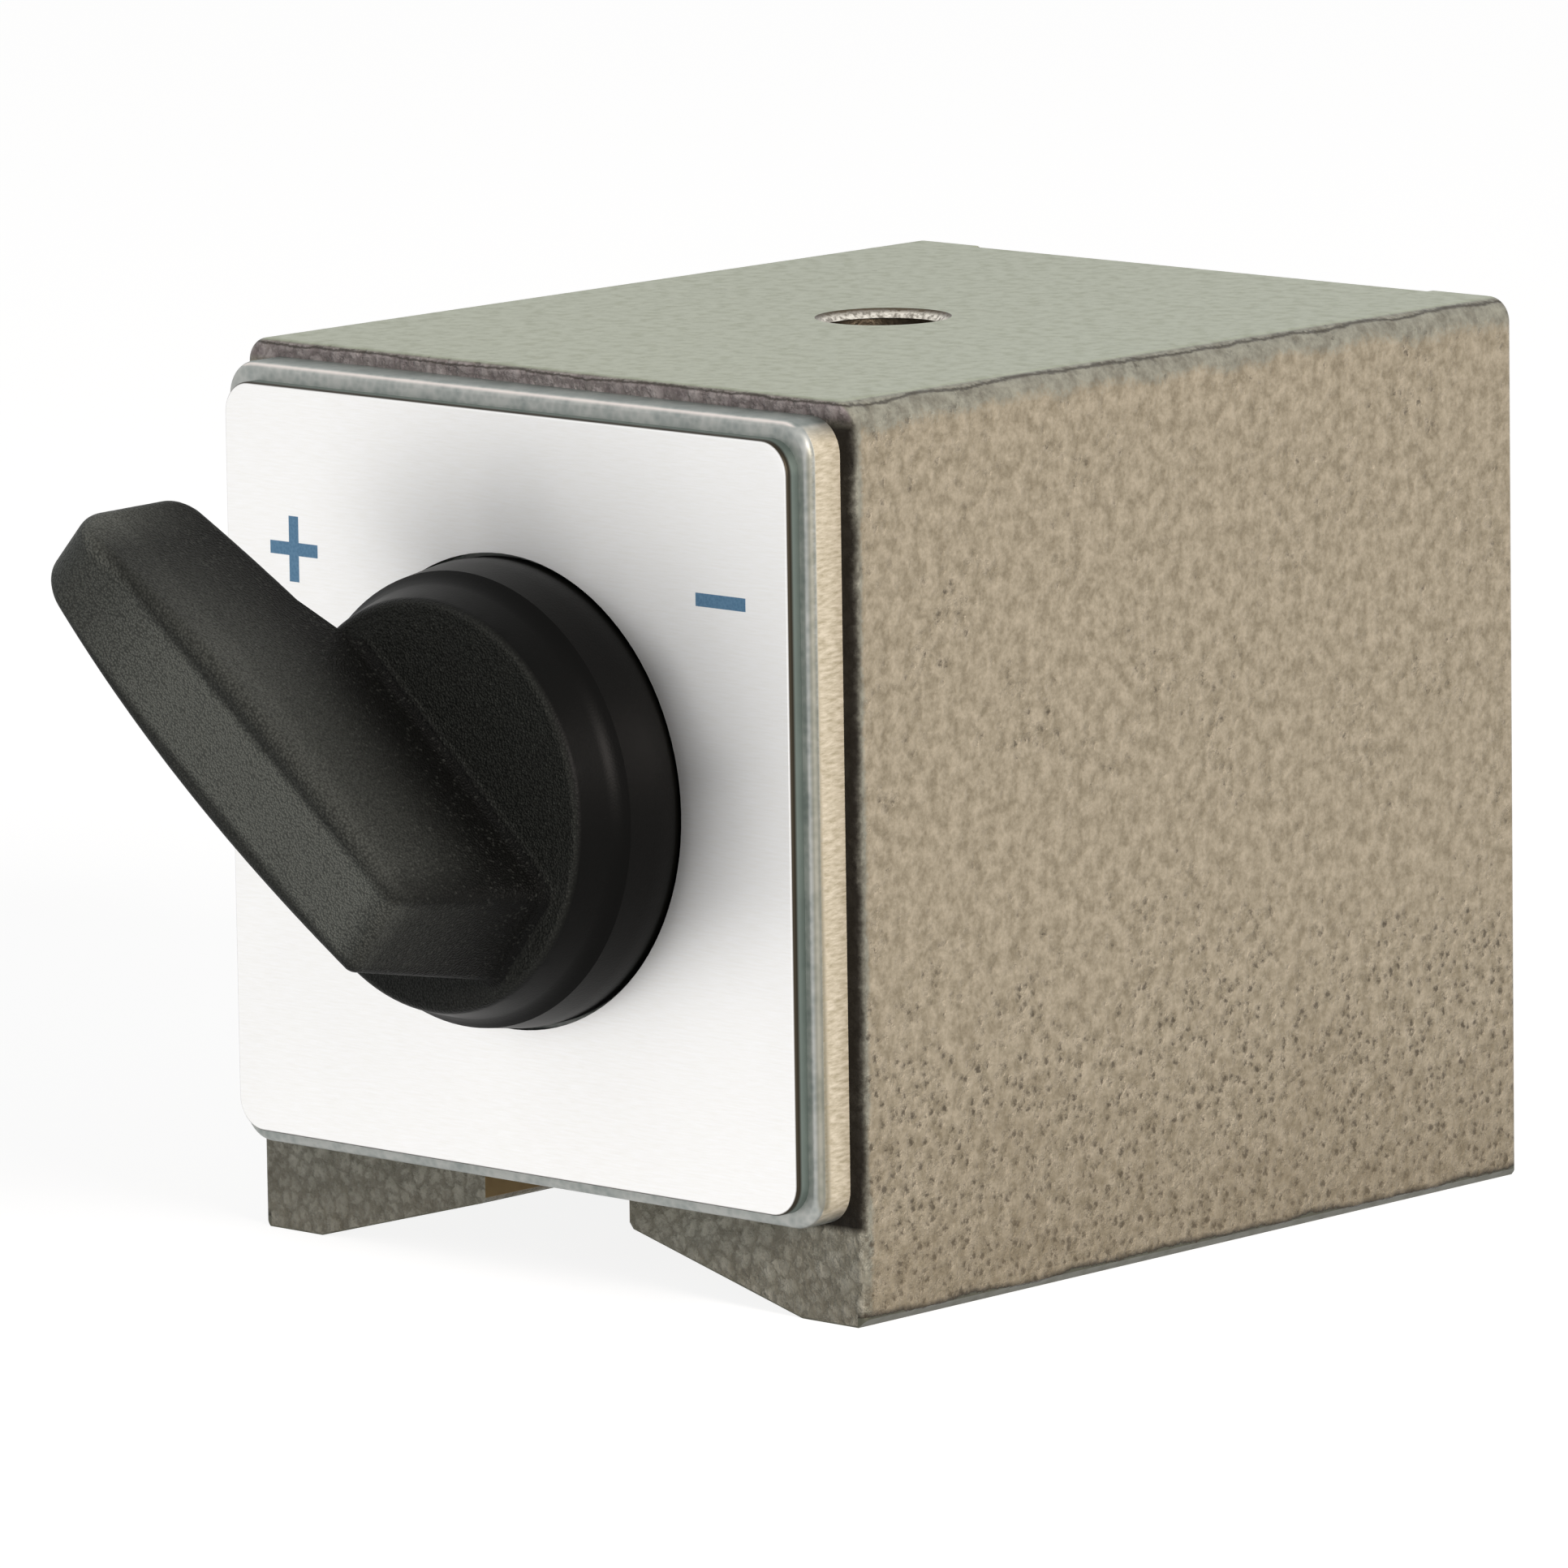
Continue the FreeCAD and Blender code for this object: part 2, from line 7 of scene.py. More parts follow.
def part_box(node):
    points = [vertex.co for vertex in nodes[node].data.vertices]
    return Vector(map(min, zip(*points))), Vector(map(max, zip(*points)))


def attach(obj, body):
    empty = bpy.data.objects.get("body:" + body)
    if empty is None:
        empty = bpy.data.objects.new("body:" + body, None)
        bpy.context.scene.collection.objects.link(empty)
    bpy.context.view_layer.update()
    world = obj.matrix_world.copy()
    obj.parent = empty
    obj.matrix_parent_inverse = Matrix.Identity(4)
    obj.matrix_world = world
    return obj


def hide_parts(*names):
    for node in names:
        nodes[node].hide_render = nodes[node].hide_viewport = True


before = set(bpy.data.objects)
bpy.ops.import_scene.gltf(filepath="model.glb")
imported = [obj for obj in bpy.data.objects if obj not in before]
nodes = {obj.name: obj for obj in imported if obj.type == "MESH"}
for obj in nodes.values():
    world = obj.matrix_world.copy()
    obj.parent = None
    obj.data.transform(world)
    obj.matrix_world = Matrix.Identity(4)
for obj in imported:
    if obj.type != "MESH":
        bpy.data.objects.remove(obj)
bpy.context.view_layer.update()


# Pole block
# Two mild steel poles held apart by two brass spacers, soldered into one block, milled and bored.
# The whole block is sprayed with hammertone enamel, then the feet are ground bare.

MM = 0.001
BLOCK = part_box("right_pole")
BLOCK_HALF_W = BLOCK[1].x
BLOCK_END = BLOCK[1].y
BLOCK_H = BLOCK[1].z
POLE_INNER_X = BLOCK[0].x
FOOT_INNER_X = 20 * MM
V_SLOPE = math.tan(math.radians(15))
SLOT_ROOF_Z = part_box("bottom_spacer")[0].z
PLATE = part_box("face_plate")
# The film's domes, bubbles, drifts and pits, sized from the photograph.
DOME_SIZE = 1.0 * MM
BUBBLE_SIZE = 1.1 * MM
BUBBLE_LEAN = 3.0 * MM
DRIFT_SIZE = 6 * MM
PIT_SPACING = 0.6 * MM
PITS_BELOW = 24 * MM
PITS_FULL = 2 * MM
FILM_RELIEF = 0.06 * MM
# Real flakes and grinding scratches are under 0.05 mm; both are drawn coarser so that they show.
FLAKE_SIZE = 0.32 * MM
FLAKE_WARP = 0.8 * MM
GRINDING_WIDTH = 0.25 * MM
GRINDING_LENGTH = 9 * MM
FOOT_EDGE = 0.55 * MM
# The painted reflection that greys the sides along the upper edge, and how many times narrower it is
# along the front edge.
EDGE_TONE = (0.4 * MM, 1.1 * MM)
FRONT_EDGE_SHARE = 2.2
STAINED_BELOW = 34 * MM
STAINED_FULL = 18 * MM


def linear(code):
    """Linear colour of an sRGB hex code."""
    values = []
    for i in (0, 2, 4):
        c = int(code[i:i + 2], 16) / 255
        values.append(c / 12.92 if c <= 0.04045 else ((c + 0.055) / 1.055) ** 2.4)
    return (*values, 1.0)


def add_node(tree, kind, inputs=(), **settings):
    """Adds a node. inputs sets its sockets, in order or by key, to values or joins them to nodes."""
    node = tree.nodes.new(kind)
    for name, value in settings.items():
        setattr(node, name, value)
    keyed = inputs.items() if isinstance(inputs, dict) else enumerate(inputs)
    for key, value in keyed:
        if isinstance(value, bpy.types.Node):
            value = next(s for s in value.outputs if s.enabled)
        if isinstance(value, bpy.types.NodeSocket):
            tree.links.new(value, node.inputs[key])
        else:
            node.inputs[key].default_value = value
    return node


def new_material(name, constants):
    """A material, its tree, its surface shader with constant values set, and Object coordinates."""
    material = bpy.data.materials.new(name)
    material.use_nodes = True
    tree = material.node_tree
    surface = tree.nodes["Principled BSDF"]
    for socket, value in constants.items():
        surface.inputs[socket].default_value = value
    place = add_node(tree, "ShaderNodeTexCoord").outputs["Object"]
    return material, tree, surface, place


def smooth_tree():
    """Geometry tree that merges loose triangles and shades them smooth up to a sharp angle."""
    tree = bpy.data.node_groups.new("merge_and_smooth", "GeometryNodeTree")
    tree.interface.new_socket("Geometry", in_out="INPUT", socket_type="NodeSocketGeometry")
    tree.interface.new_socket("Geometry", in_out="OUTPUT", socket_type="NodeSocketGeometry")
    sharp = tree.interface.new_socket("Sharp Angle", in_out="INPUT", socket_type="NodeSocketFloat")
    sharp.default_value = math.radians(28)
    reach = tree.interface.new_socket("Merge Reach", in_out="INPUT", socket_type="NodeSocketFloat")
    reach.default_value = 0.002 * MM
    given = add_node(tree, "NodeGroupInput")
    clean = add_node(tree, "GeometryNodeRemoveAttribute", {"Geometry": given.outputs["Geometry"],
                                                           "Name": "custom_normal"})
    merged = add_node(tree, "GeometryNodeMergeByDistance", {"Geometry": clean,
                                                            "Distance": given.outputs["Merge Reach"]})
    faces = add_node(tree, "GeometryNodeSetShadeSmooth", {"Geometry": merged, "Shade Smooth": True},
                     domain="FACE")
    angle = add_node(tree, "GeometryNodeInputMeshEdgeAngle")
    wide = add_node(tree, "FunctionNodeCompare", {0: angle.outputs["Unsigned Angle"],
                                                  1: given.outputs["Sharp Angle"]},
                    data_type="FLOAT", operation="GREATER_THAN")
    edges = add_node(tree, "GeometryNodeSetShadeSmooth",
                     {"Geometry": faces, "Selection": wide, "Shade Smooth": False}, domain="EDGE")
    add_node(tree, "NodeGroupOutput", {"Geometry": edges})
    return tree


smoothing = smooth_tree()


def finish_surface(piece, material):
    """Gives a piece its material and shades its round faces smooth and its flat ones flat."""
    piece.data.materials.clear()
    piece.data.materials.append(material)
    rounding = piece.modifiers.new("merge_and_smooth", "NODES")
    rounding.node_group = smoothing
    weighting = piece.modifiers.new("weighted_normals", "WEIGHTED_NORMAL")
    weighting.keep_sharp = True
    weighting.weight = 100


def blend(tree, factor, first, second):
    """Mixes two colours, given as hex codes or sockets."""
    first, second = (linear(c) if isinstance(c, str) else c for c in (first, second))
    mix = add_node(tree, "ShaderNodeMix", {0: factor, 6: first, 7: second}, data_type="RGBA")
    return mix.outputs[2]


def hammer_pattern(tree, place, height, ends):
    """The film's soft domes, the creases between them and its pits, each from 0 to 1. On the ends,
    where the film lies heavier, the domes are uneven bubbles. The pits gather in places and lie
    closer and wider near the feet, where the film ran. The flakes and the drifts of the film come
    too."""
    fine = add_node(tree, "ShaderNodeTexNoise", {"Vector": place, "Scale": 1 / FLAKE_SIZE,
                                                 "Detail": 3.0, "Roughness": 0.7})
    broad = add_node(tree, "ShaderNodeTexNoise", {"Vector": place, "Scale": 1 / DRIFT_SIZE,
                                                  "Detail": 5.0, "Roughness": 0.65})
    centred = add_node(tree, "ShaderNodeVectorMath", [fine.outputs["Color"], (0.5, 0.5, 0.5)],
                       operation="SUBTRACT")
    shift = add_node(tree, "ShaderNodeVectorMath", {0: centred, "Scale": FLAKE_WARP},
                     operation="SCALE")
    warped = add_node(tree, "ShaderNodeVectorMath", [place, shift], operation="ADD")
    domes = add_node(tree, "ShaderNodeTexNoise", {"Vector": place, "Scale": 1 / DOME_SIZE,
                                                  "Detail": 2.0, "Roughness": 0.5})
    domes = add_node(tree, "ShaderNodeMapRange", [domes, 0.2, 0.8, 0.9, 0.0])
    lean = add_node(tree, "ShaderNodeVectorMath", [broad.outputs["Color"], (0.5, 0.5, 0.5)],
                    operation="SUBTRACT")
    lean = add_node(tree, "ShaderNodeVectorMath", {0: lean, "Scale": BUBBLE_LEAN},
                    operation="SCALE")
    uneven = add_node(tree, "ShaderNodeVectorMath", [warped, lean], operation="ADD")
    bubbles = add_node(tree, "ShaderNodeTexVoronoi", {"Vector": uneven, "Scale": 1 / BUBBLE_SIZE})
    seams = add_node(tree, "ShaderNodeTexVoronoi", {"Vector": uneven, "Scale": 1 / BUBBLE_SIZE},
                     feature="DISTANCE_TO_EDGE")
    seams = add_node(tree, "ShaderNodeMath", [fine, -0.2, seams.outputs["Distance"]],
                     operation="MULTIPLY_ADD")
    seams = add_node(tree, "ShaderNodeMapRange", [seams, -0.08, 0.1, 1.0, 0.0],
                     interpolation_type="SMOOTHSTEP")
    cells = add_node(tree, "ShaderNodeMix", {0: ends, 2: domes, 3: bubbles.outputs["Distance"]},
                     data_type="FLOAT")
    crease = add_node(tree, "ShaderNodeMapRange", [domes, 0.35, 0.8, 0.0, 1.0],
                      interpolation_type="SMOOTHSTEP")
    crease = add_node(tree, "ShaderNodeMix", {0: ends, 2: crease, 3: seams}, data_type="FLOAT")

    # One pit in each cell, of random size and wider low down, where chance and the drifts allow it.
    pits = add_node(tree, "ShaderNodeTexVoronoi", {"Vector": warped, "Scale": 1 / PIT_SPACING})
    chance = add_node(tree, "ShaderNodeSeparateColor", [pits.outputs["Color"]])
    low = add_node(tree, "ShaderNodeMapRange", [height, PITS_BELOW, PITS_FULL, -0.1, 0.5])
    size = add_node(tree, "ShaderNodeMath", [chance.outputs[1], 0.28, pits.outputs["Distance"]],
                    operation="MULTIPLY_ADD")
    size = add_node(tree, "ShaderNodeMath", [low, -0.14, size], operation="MULTIPLY_ADD")
    spot = add_node(tree, "ShaderNodeMapRange", [size, 0.12, 0.54, 1.0, 0.0],
                    interpolation_type="SMOOTHSTEP")
    dimple = add_node(tree, "ShaderNodeMapRange", [size, 0.2, 0.95, 1.0, 0.0],
                      interpolation_type="SMOOTHSTEP")
    chance = add_node(tree, "ShaderNodeMath", [chance, 0.55, low], operation="MULTIPLY_ADD")
    chance = add_node(tree, "ShaderNodeMath", [broad, 1.1, chance], operation="MULTIPLY_ADD")
    chance = add_node(tree, "ShaderNodeMapRange", [chance, 0.84, 1.04, 0.0, 1.0])
    pit = add_node(tree, "ShaderNodeMath", [spot, chance], operation="MULTIPLY")
    kept = add_node(tree, "ShaderNodeMapRange", [ends, 0.0, 1.0, 1.0, 0.45])
    pit = add_node(tree, "ShaderNodeMath", [pit, kept], operation="MULTIPLY")
    dimple = add_node(tree, "ShaderNodeMath", [dimple, chance], operation="MULTIPLY")
    return cells, crease, pit, dimple, fine, broad


def bare_feet(tree, side, height, ragged):
    """1 on the ground soles and V faces, up to a ragged edge of paint, and inside the slot; then
    the slot alone, and the dirty lip of paint along the side faces."""
    v_height = add_node(tree, "ShaderNodeMath", [FOOT_INNER_X, side], operation="SUBTRACT")
    v_height = add_node(tree, "ShaderNodeMath", [v_height, V_SLOPE], operation="MULTIPLY")
    v_height = add_node(tree, "ShaderNodeMath", [v_height, 0.0], operation="MAXIMUM")
    above = add_node(tree, "ShaderNodeMath", [height, v_height], operation="SUBTRACT")
    wall = add_node(tree, "ShaderNodeMath", [side, BLOCK_HALF_W - FOOT_EDGE],
                    operation="GREATER_THAN")
    rise = add_node(tree, "ShaderNodeMath", [wall, ragged], operation="MULTIPLY")
    above = add_node(tree, "ShaderNodeMath", [above, rise], operation="SUBTRACT")
    foot = add_node(tree, "ShaderNodeMapRange", [above, 0.04 * MM, 0.12 * MM, 1.0, 0.0])
    slot_wall = add_node(tree, "ShaderNodeMath", [side, POLE_INNER_X + 0.02 * MM],
                         operation="LESS_THAN")
    in_slot = add_node(tree, "ShaderNodeMath", [height, SLOT_ROOF_Z + 0.05 * MM],
                       operation="LESS_THAN")
    slot = add_node(tree, "ShaderNodeMath", [slot_wall, in_slot], operation="MULTIPLY")
    lip = add_node(tree, "ShaderNodeMapRange", [above, 0.12 * MM, 0.5 * MM, 0.95, 0.0])
    lip = add_node(tree, "ShaderNodeMath", [lip, wall], operation="MULTIPLY")
    return add_node(tree, "ShaderNodeMath", [foot, slot], operation="MAXIMUM"), slot, lip


def dark_rim(tree, xyz, height, wobble):
    """Dark line round the edge of the flat top, where the film draws back, and painted shade in the
    corner between the face plate and the block, reaching onto the sides by the front edge."""
    rim = add_node(tree, "ShaderNodeMath", [height, BLOCK_H - 0.2 * MM], operation="SUBTRACT")
    rim = add_node(tree, "ShaderNodeMath", [rim, wobble], operation="ADD")
    rim = add_node(tree, "ShaderNodeMath", [rim], operation="ABSOLUTE")
    line = add_node(tree, "ShaderNodeMapRange", [rim, 0.01 * MM, 0.13 * MM, 0.85, 0.0],
                    interpolation_type="SMOOTHSTEP")
    front = add_node(tree, "ShaderNodeMath", [xyz.outputs["Y"], wobble], operation="ADD")
    front = add_node(tree, "ShaderNodeMapRange", [front, 0.7 * MM - BLOCK_END,
                                                  0.1 * MM - BLOCK_END, 0.0, 0.97],
                     interpolation_type="SMOOTHSTEP")
    under = add_node(tree, "ShaderNodeMapRange", [height, PLATE[0].z - 0.5 * MM, PLATE[0].z, 0.0,
                                                  1.0])
    reach = add_node(tree, "ShaderNodeMath", [xyz.outputs["X"], -0.04, height],
                     operation="MULTIPLY_ADD")
    over = add_node(tree, "ShaderNodeMapRange", [reach, PLATE[1].z - 1.6 * MM,
                                                 PLATE[1].z - 0.4 * MM, 1.0, 0.0])
    painted_corner_shade = add_node(tree, "ShaderNodeMath", [front, under], operation="MULTIPLY")
    painted_corner_shade = add_node(tree, "ShaderNodeMath", [painted_corner_shade, over], operation="MULTIPLY")
    return line, painted_corner_shade


def hammertone_enamel():
    """Sprayed hammertone enamel on steel: a satin aluminium flake film in low domes, with darker
    creases and pits. It is beige on the sides and smoother on top. Its greener top, greyer ends, grey
    upper and front edges and purple-grey strip above the face plate are painted light and shade of
    this one paint. It stops raggedly at the ground feet."""
    material, tree, surface, place = new_material("hammertone_enamel_sprayed_on_steel", {
        "IOR": 1.5, "Specular IOR Level": 0.3})
    xyz = add_node(tree, "ShaderNodeSeparateXYZ", [place])
    side = add_node(tree, "ShaderNodeMath", [xyz.outputs["X"]], operation="ABSOLUTE")
    end = add_node(tree, "ShaderNodeMath", [xyz.outputs["Y"]], operation="ABSOLUTE")
    height = xyz.outputs["Z"]
    ends = add_node(tree, "ShaderNodeMapRange", [end, BLOCK_END - 0.2 * MM, BLOCK_END - 0.08 * MM,
                                                 0.0, 1.0])
    cells, crease, pit, dimple, fine, broad = hammer_pattern(tree, place, height, ends)
    below = add_node(tree, "ShaderNodeMath", [height, -BLOCK_H], operation="ADD")
    behind = add_node(tree, "ShaderNodeMath", [-BLOCK_END, xyz.outputs["Y"]], operation="SUBTRACT")
    behind = add_node(tree, "ShaderNodeMath", [behind, FRONT_EDGE_SHARE],
                      operation="MULTIPLY")
    edge = add_node(tree, "ShaderNodeMath", [below, behind], operation="MAXIMUM")
    drift = add_node(tree, "ShaderNodeMath", [broad, 3.0 * MM, edge], operation="MULTIPLY_ADD")
    drift = add_node(tree, "ShaderNodeMath", [fine, 1.4 * MM, drift], operation="MULTIPLY_ADD")
    upper = add_node(tree, "ShaderNodeMapRange", [drift, *EDGE_TONE, 0.0, 1.0])
    top = add_node(tree, "ShaderNodeMapRange", [height, BLOCK_H - 0.12 * MM, BLOCK_H - 0.04 * MM,
                                                0.0, 1.0])
    calm = add_node(tree, "ShaderNodeMapRange", [top, 0.0, 1.0, 1.0, 0.25])

    # Colour: painted face tones and bright flakes on the domes, then creases, pits, stains, the dark
    # rim line and the painted corner shade over them.
    lit = add_node(tree, "ShaderNodeMapRange", [cells, 0.1, 0.7, 1.0, 0.0])
    lit = add_node(tree, "ShaderNodeMath", [fine, 2.2, lit], operation="MULTIPLY_ADD")
    lit = add_node(tree, "ShaderNodeMapRange", [lit, 0.8, 2.2, 0.0, 1.0])
    beige = blend(tree, lit, "8b826d", "b8ae99")
    grey = blend(tree, lit, "77766b", "a1a193")
    # Painted light and shade: the same paint is drawn greyer on the ends and purple-grey on the strip
    # above the face plate.
    strip = add_node(tree, "ShaderNodeMapRange", [height, PLATE[1].z - 0.5 * MM, PLATE[1].z, 0.0,
                                                  1.0])
    painted_end_tone = blend(tree, lit, "9b998a", "c6c4b6")
    over_plate = blend(tree, lit, "8a7f80", "c0b7b5")
    painted_end_tone = blend(tree, strip, painted_end_tone, over_plate)
    # Painted reflection: the sides turn grey along their upper and front edges.
    body = blend(tree, upper, beige, grey)
    body = blend(tree, ends, body, painted_end_tone)
    # Painted reflection: the flat top is drawn greener than the sides.
    flat = blend(tree, lit, "a9b09a", "b9c0aa")
    body = blend(tree, top, body, flat)
    shade = add_node(tree, "ShaderNodeMapRange", [ends, 0.0, 1.0, 0.15, 0.3])
    shade = add_node(tree, "ShaderNodeMath", [shade, crease], operation="MULTIPLY")
    shade = add_node(tree, "ShaderNodeMath", [shade, calm], operation="MULTIPLY")
    body = blend(tree, shade, body, blend(tree, ends, "6f6655", "4d4a40"))
    hole = add_node(tree, "ShaderNodeMath", [pit, calm], operation="MULTIPLY")
    hole = add_node(tree, "ShaderNodeMath", [hole, 0.82], operation="MULTIPLY")
    body = blend(tree, hole, body, "3b3326")
    stain = add_node(tree, "ShaderNodeMath", [broad, 40 * MM, height], operation="MULTIPLY_ADD")
    stain = add_node(tree, "ShaderNodeMapRange", [stain, STAINED_BELOW, STAINED_FULL, 0.0, 0.35])
    body = blend(tree, stain, body, "71644c")
    wobble = add_node(tree, "ShaderNodeMath", [broad, 0.9 * MM, -0.5 * MM],
                      operation="MULTIPLY_ADD")
    wobble = add_node(tree, "ShaderNodeMath", [fine, 0.2 * MM, wobble], operation="MULTIPLY_ADD")
    wobble = add_node(tree, "ShaderNodeMath", [wobble, -0.03 * MM], operation="MAXIMUM")
    line, painted_corner_shade = dark_rim(tree, xyz, height, wobble)
    body = blend(tree, line, body, "3d382f")
    # Painted shade, near black, where the face plate meets the block.
    body = blend(tree, painted_corner_shade, body, "1b1610")

    # The feet: steel scratched lengthways by grinding, with the film's ragged edge above it.
    ragged = add_node(tree, "ShaderNodeMath", [broad, 1.4 * MM, -0.35 * MM],
                      operation="MULTIPLY_ADD")
    ragged = add_node(tree, "ShaderNodeMath", [fine, 0.3 * MM, ragged], operation="MULTIPLY_ADD")
    bare, slot, lip = bare_feet(tree, side, height, ragged)
    body = blend(tree, lip, body, "2e271b")
    stroke = add_node(tree, "ShaderNodeMapping", {
        "Vector": place, "Scale": (1 / GRINDING_WIDTH, 1 / GRINDING_LENGTH, 1.0)})
    scratches = add_node(tree, "ShaderNodeTexNoise", {"Vector": stroke, "Scale": 1.0,
                                                      "Detail": 3.0})
    steel = blend(tree, scratches, "4c4b3f", "66665a")
    steel = blend(tree, slot, steel, "6e5c3e")
    tree.links.new(blend(tree, bare, body, steel), surface.inputs["Base Color"])

    # Gloss, and the relief of domes and pits, which is calmer on the flat top.
    metal = add_node(tree, "ShaderNodeMapRange", [bare, 0.0, 1.0, 0.2, 0.9])
    tree.links.new(metal.outputs[0], surface.inputs["Metallic"])
    gloss = add_node(tree, "ShaderNodeMapRange", [bare, 0.0, 1.0, 0.42, 0.36])
    gloss = add_node(tree, "ShaderNodeMath", [crease, 0.1, gloss], operation="MULTIPLY_ADD")
    gloss = add_node(tree, "ShaderNodeMath", [painted_corner_shade, 0.5, gloss], operation="MULTIPLY_ADD")
    tree.links.new(gloss.outputs[0], surface.inputs["Roughness"])
    dome = add_node(tree, "ShaderNodeMapRange", [cells, 0.0, 0.8, 1.0, 0.0])
    film = add_node(tree, "ShaderNodeMath", [fine, 0.9, dome], operation="MULTIPLY_ADD")
    film = add_node(tree, "ShaderNodeMath", [dimple, -1.3, film], operation="MULTIPLY_ADD")
    film = add_node(tree, "ShaderNodeMath", [film, calm], operation="MULTIPLY")
    ground = add_node(tree, "ShaderNodeMath", [scratches, 0.12, -0.3], operation="MULTIPLY_ADD")
    relief = add_node(tree, "ShaderNodeMix", {0: bare, 2: film, 3: ground}, data_type="FLOAT")
    bump = add_node(tree, "ShaderNodeBump", {"Strength": 1.0, "Distance": FILM_RELIEF,
                                             "Height": relief})
    tree.links.new(bump.outputs[0], surface.inputs["Normal"])
    return material


enamel = hammertone_enamel()
for name in ("left_pole", "right_pole", "bottom_spacer"):
    finish_surface(nodes[name], enamel)


# Top spacer with its tapped hole
# Milled brass bar, painted over with the block, then drilled and tapped M8 for the arm. The tap
# and the countersink leave the hole bare, with a painted highlight in the countersink and painted
# shade in the rest of the hole.

THREAD_MAJOR_R = 4.0 * MM
THREAD_MINOR_R = 3.4 * MM
THREAD_MOUTH_R = 4.25 * MM
COUNTERSINK = 0.55 * MM
THREAD_PITCH = 1.25 * MM
THREAD_TURNS = 6.5
THREAD_TOP = BLOCK_H - 1.2 * MM
THREAD_HOLE_FLOOR = BLOCK_H - 10.0 * MM
THREAD_SINK = 0.05 * MM
# Widths of the ridge at its root and crest, in pitches, and its steps in a turn.
THREAD_ROOT = 0.88
THREAD_CREST = 0.14
THREAD_STEPS = 72
BORE_FACETS = 96
DRILL_POINT = 3 * MM
# Real cutting marks are about 0.1 mm apart; they are drawn coarser so that they show.
CUTTING_MARK = 0.35 * MM
CUTTING_RELIEF = 0.05 * MM


def add_object(name, data):
    """An object in the scene that shows a mesh, lamp or camera."""
    thing = bpy.data.objects.new(name, data)
    bpy.context.scene.collection.objects.link(thing)
    return thing


def merged_copy(name, node):
    """A new piece with a CAD node's shape, its loose triangles merged."""
    mesh = bpy.data.meshes.new(name)
    bm = bmesh.new()
    bm.from_mesh(nodes[node].data)
    bmesh.ops.remove_doubles(bm, verts=bm.verts, dist=0.001 * MM)
    bm.to_mesh(mesh)
    bm.free()
    return add_object(name, mesh)


def plain_mesh(piece):
    """Turns a piece and its modifiers into a plain mesh."""
    graph = bpy.context.evaluated_depsgraph_get()
    mesh = bpy.data.meshes.new_from_object(piece.evaluated_get(graph))
    piece.modifiers.clear()
    piece.data = mesh


def tapped_spacer():
    """The top spacer with its plain hole opened to the thread's outer size, below the mouth."""
    spacer = merged_copy("tapped_top_spacer", "top_spacer")
    bm = bmesh.new()
    depth = BLOCK_H - COUNTERSINK - THREAD_HOLE_FLOOR
    middle = THREAD_HOLE_FLOOR + depth / 2
    bmesh.ops.create_cone(bm, cap_ends=True, segments=BORE_FACETS,
                          radius1=THREAD_MAJOR_R, radius2=THREAD_MAJOR_R, depth=depth,
                          matrix=Matrix.Translation((0, 0, middle)))
    mesh = bpy.data.meshes.new("thread_bore")
    bm.to_mesh(mesh)
    bm.free()
    bore = add_object("thread_bore", mesh)
    cut = spacer.modifiers.new("bore", "BOOLEAN")
    cut.operation = "DIFFERENCE"
    cut.object = bore
    cut.solver = "EXACT"
    plain_mesh(spacer)
    bpy.data.objects.remove(bore)
    return spacer


def thread_tree(material):
    """Geometry tree that sweeps the thread's ridge along a helix."""
    tree = bpy.data.node_groups.new("thread_ridge", "GeometryNodeTree")
    tree.interface.new_socket("Geometry", in_out="OUTPUT", socket_type="NodeSocketGeometry")
    for name, value in (("Wall Radius", THREAD_MAJOR_R + THREAD_SINK), ("Pitch", THREAD_PITCH),
                        ("Turns", THREAD_TURNS),
                        ("Depth", THREAD_MAJOR_R + THREAD_SINK - THREAD_MINOR_R)):
        socket = tree.interface.new_socket(name, in_out="INPUT", socket_type="NodeSocketFloat")
        socket.default_value = value
    given = add_node(tree, "NodeGroupInput")
    height = add_node(tree, "ShaderNodeMath", [given.outputs["Pitch"], given.outputs["Turns"]],
                      operation="MULTIPLY")
    helix = add_node(tree, "GeometryNodeCurveSpiral", {
        "Resolution": THREAD_STEPS, "Rotations": given.outputs["Turns"],
        "Start Radius": given.outputs["Wall Radius"], "End Radius": given.outputs["Wall Radius"],
        "Height": height})
    upright = add_node(tree, "GeometryNodeSetCurveNormal", {"Curve": helix}, mode="Z_UP")
    root = add_node(tree, "ShaderNodeMath", [given.outputs["Pitch"], THREAD_ROOT],
                    operation="MULTIPLY")
    crest = add_node(tree, "ShaderNodeMath", [given.outputs["Pitch"], THREAD_CREST],
                     operation="MULTIPLY")
    ridge = add_node(tree, "GeometryNodeCurvePrimitiveQuadrilateral", {
        "Bottom Width": root, "Top Width": crest, "Height": given.outputs["Depth"],
        "Offset": 0.0}, mode="TRAPEZOID")
    half = add_node(tree, "ShaderNodeMath", [given.outputs["Depth"], 0.5], operation="MULTIPLY")
    shift = add_node(tree, "ShaderNodeCombineXYZ", {"Y": half})
    ridge = add_node(tree, "GeometryNodeTransform", {"Geometry": ridge, "Translation": shift})
    ridge = add_node(tree, "GeometryNodeTransform", {
        "Geometry": ridge, "Rotation": (0.0, 0.0, math.radians(-90))})
    swept = add_node(tree, "GeometryNodeCurveToMesh", {"Curve": upright, "Profile Curve": ridge,
                                                       "Fill Caps": True})
    real = add_node(tree, "GeometryNodeRealizeInstances", [swept])
    finished = add_node(tree, "GeometryNodeSetMaterial", {"Geometry": real, "Material": material})
    add_node(tree, "NodeGroupOutput", {"Geometry": finished})
    return tree


MARK_STRETCH = 0.15
STAIN_SIZE = 4 * MM


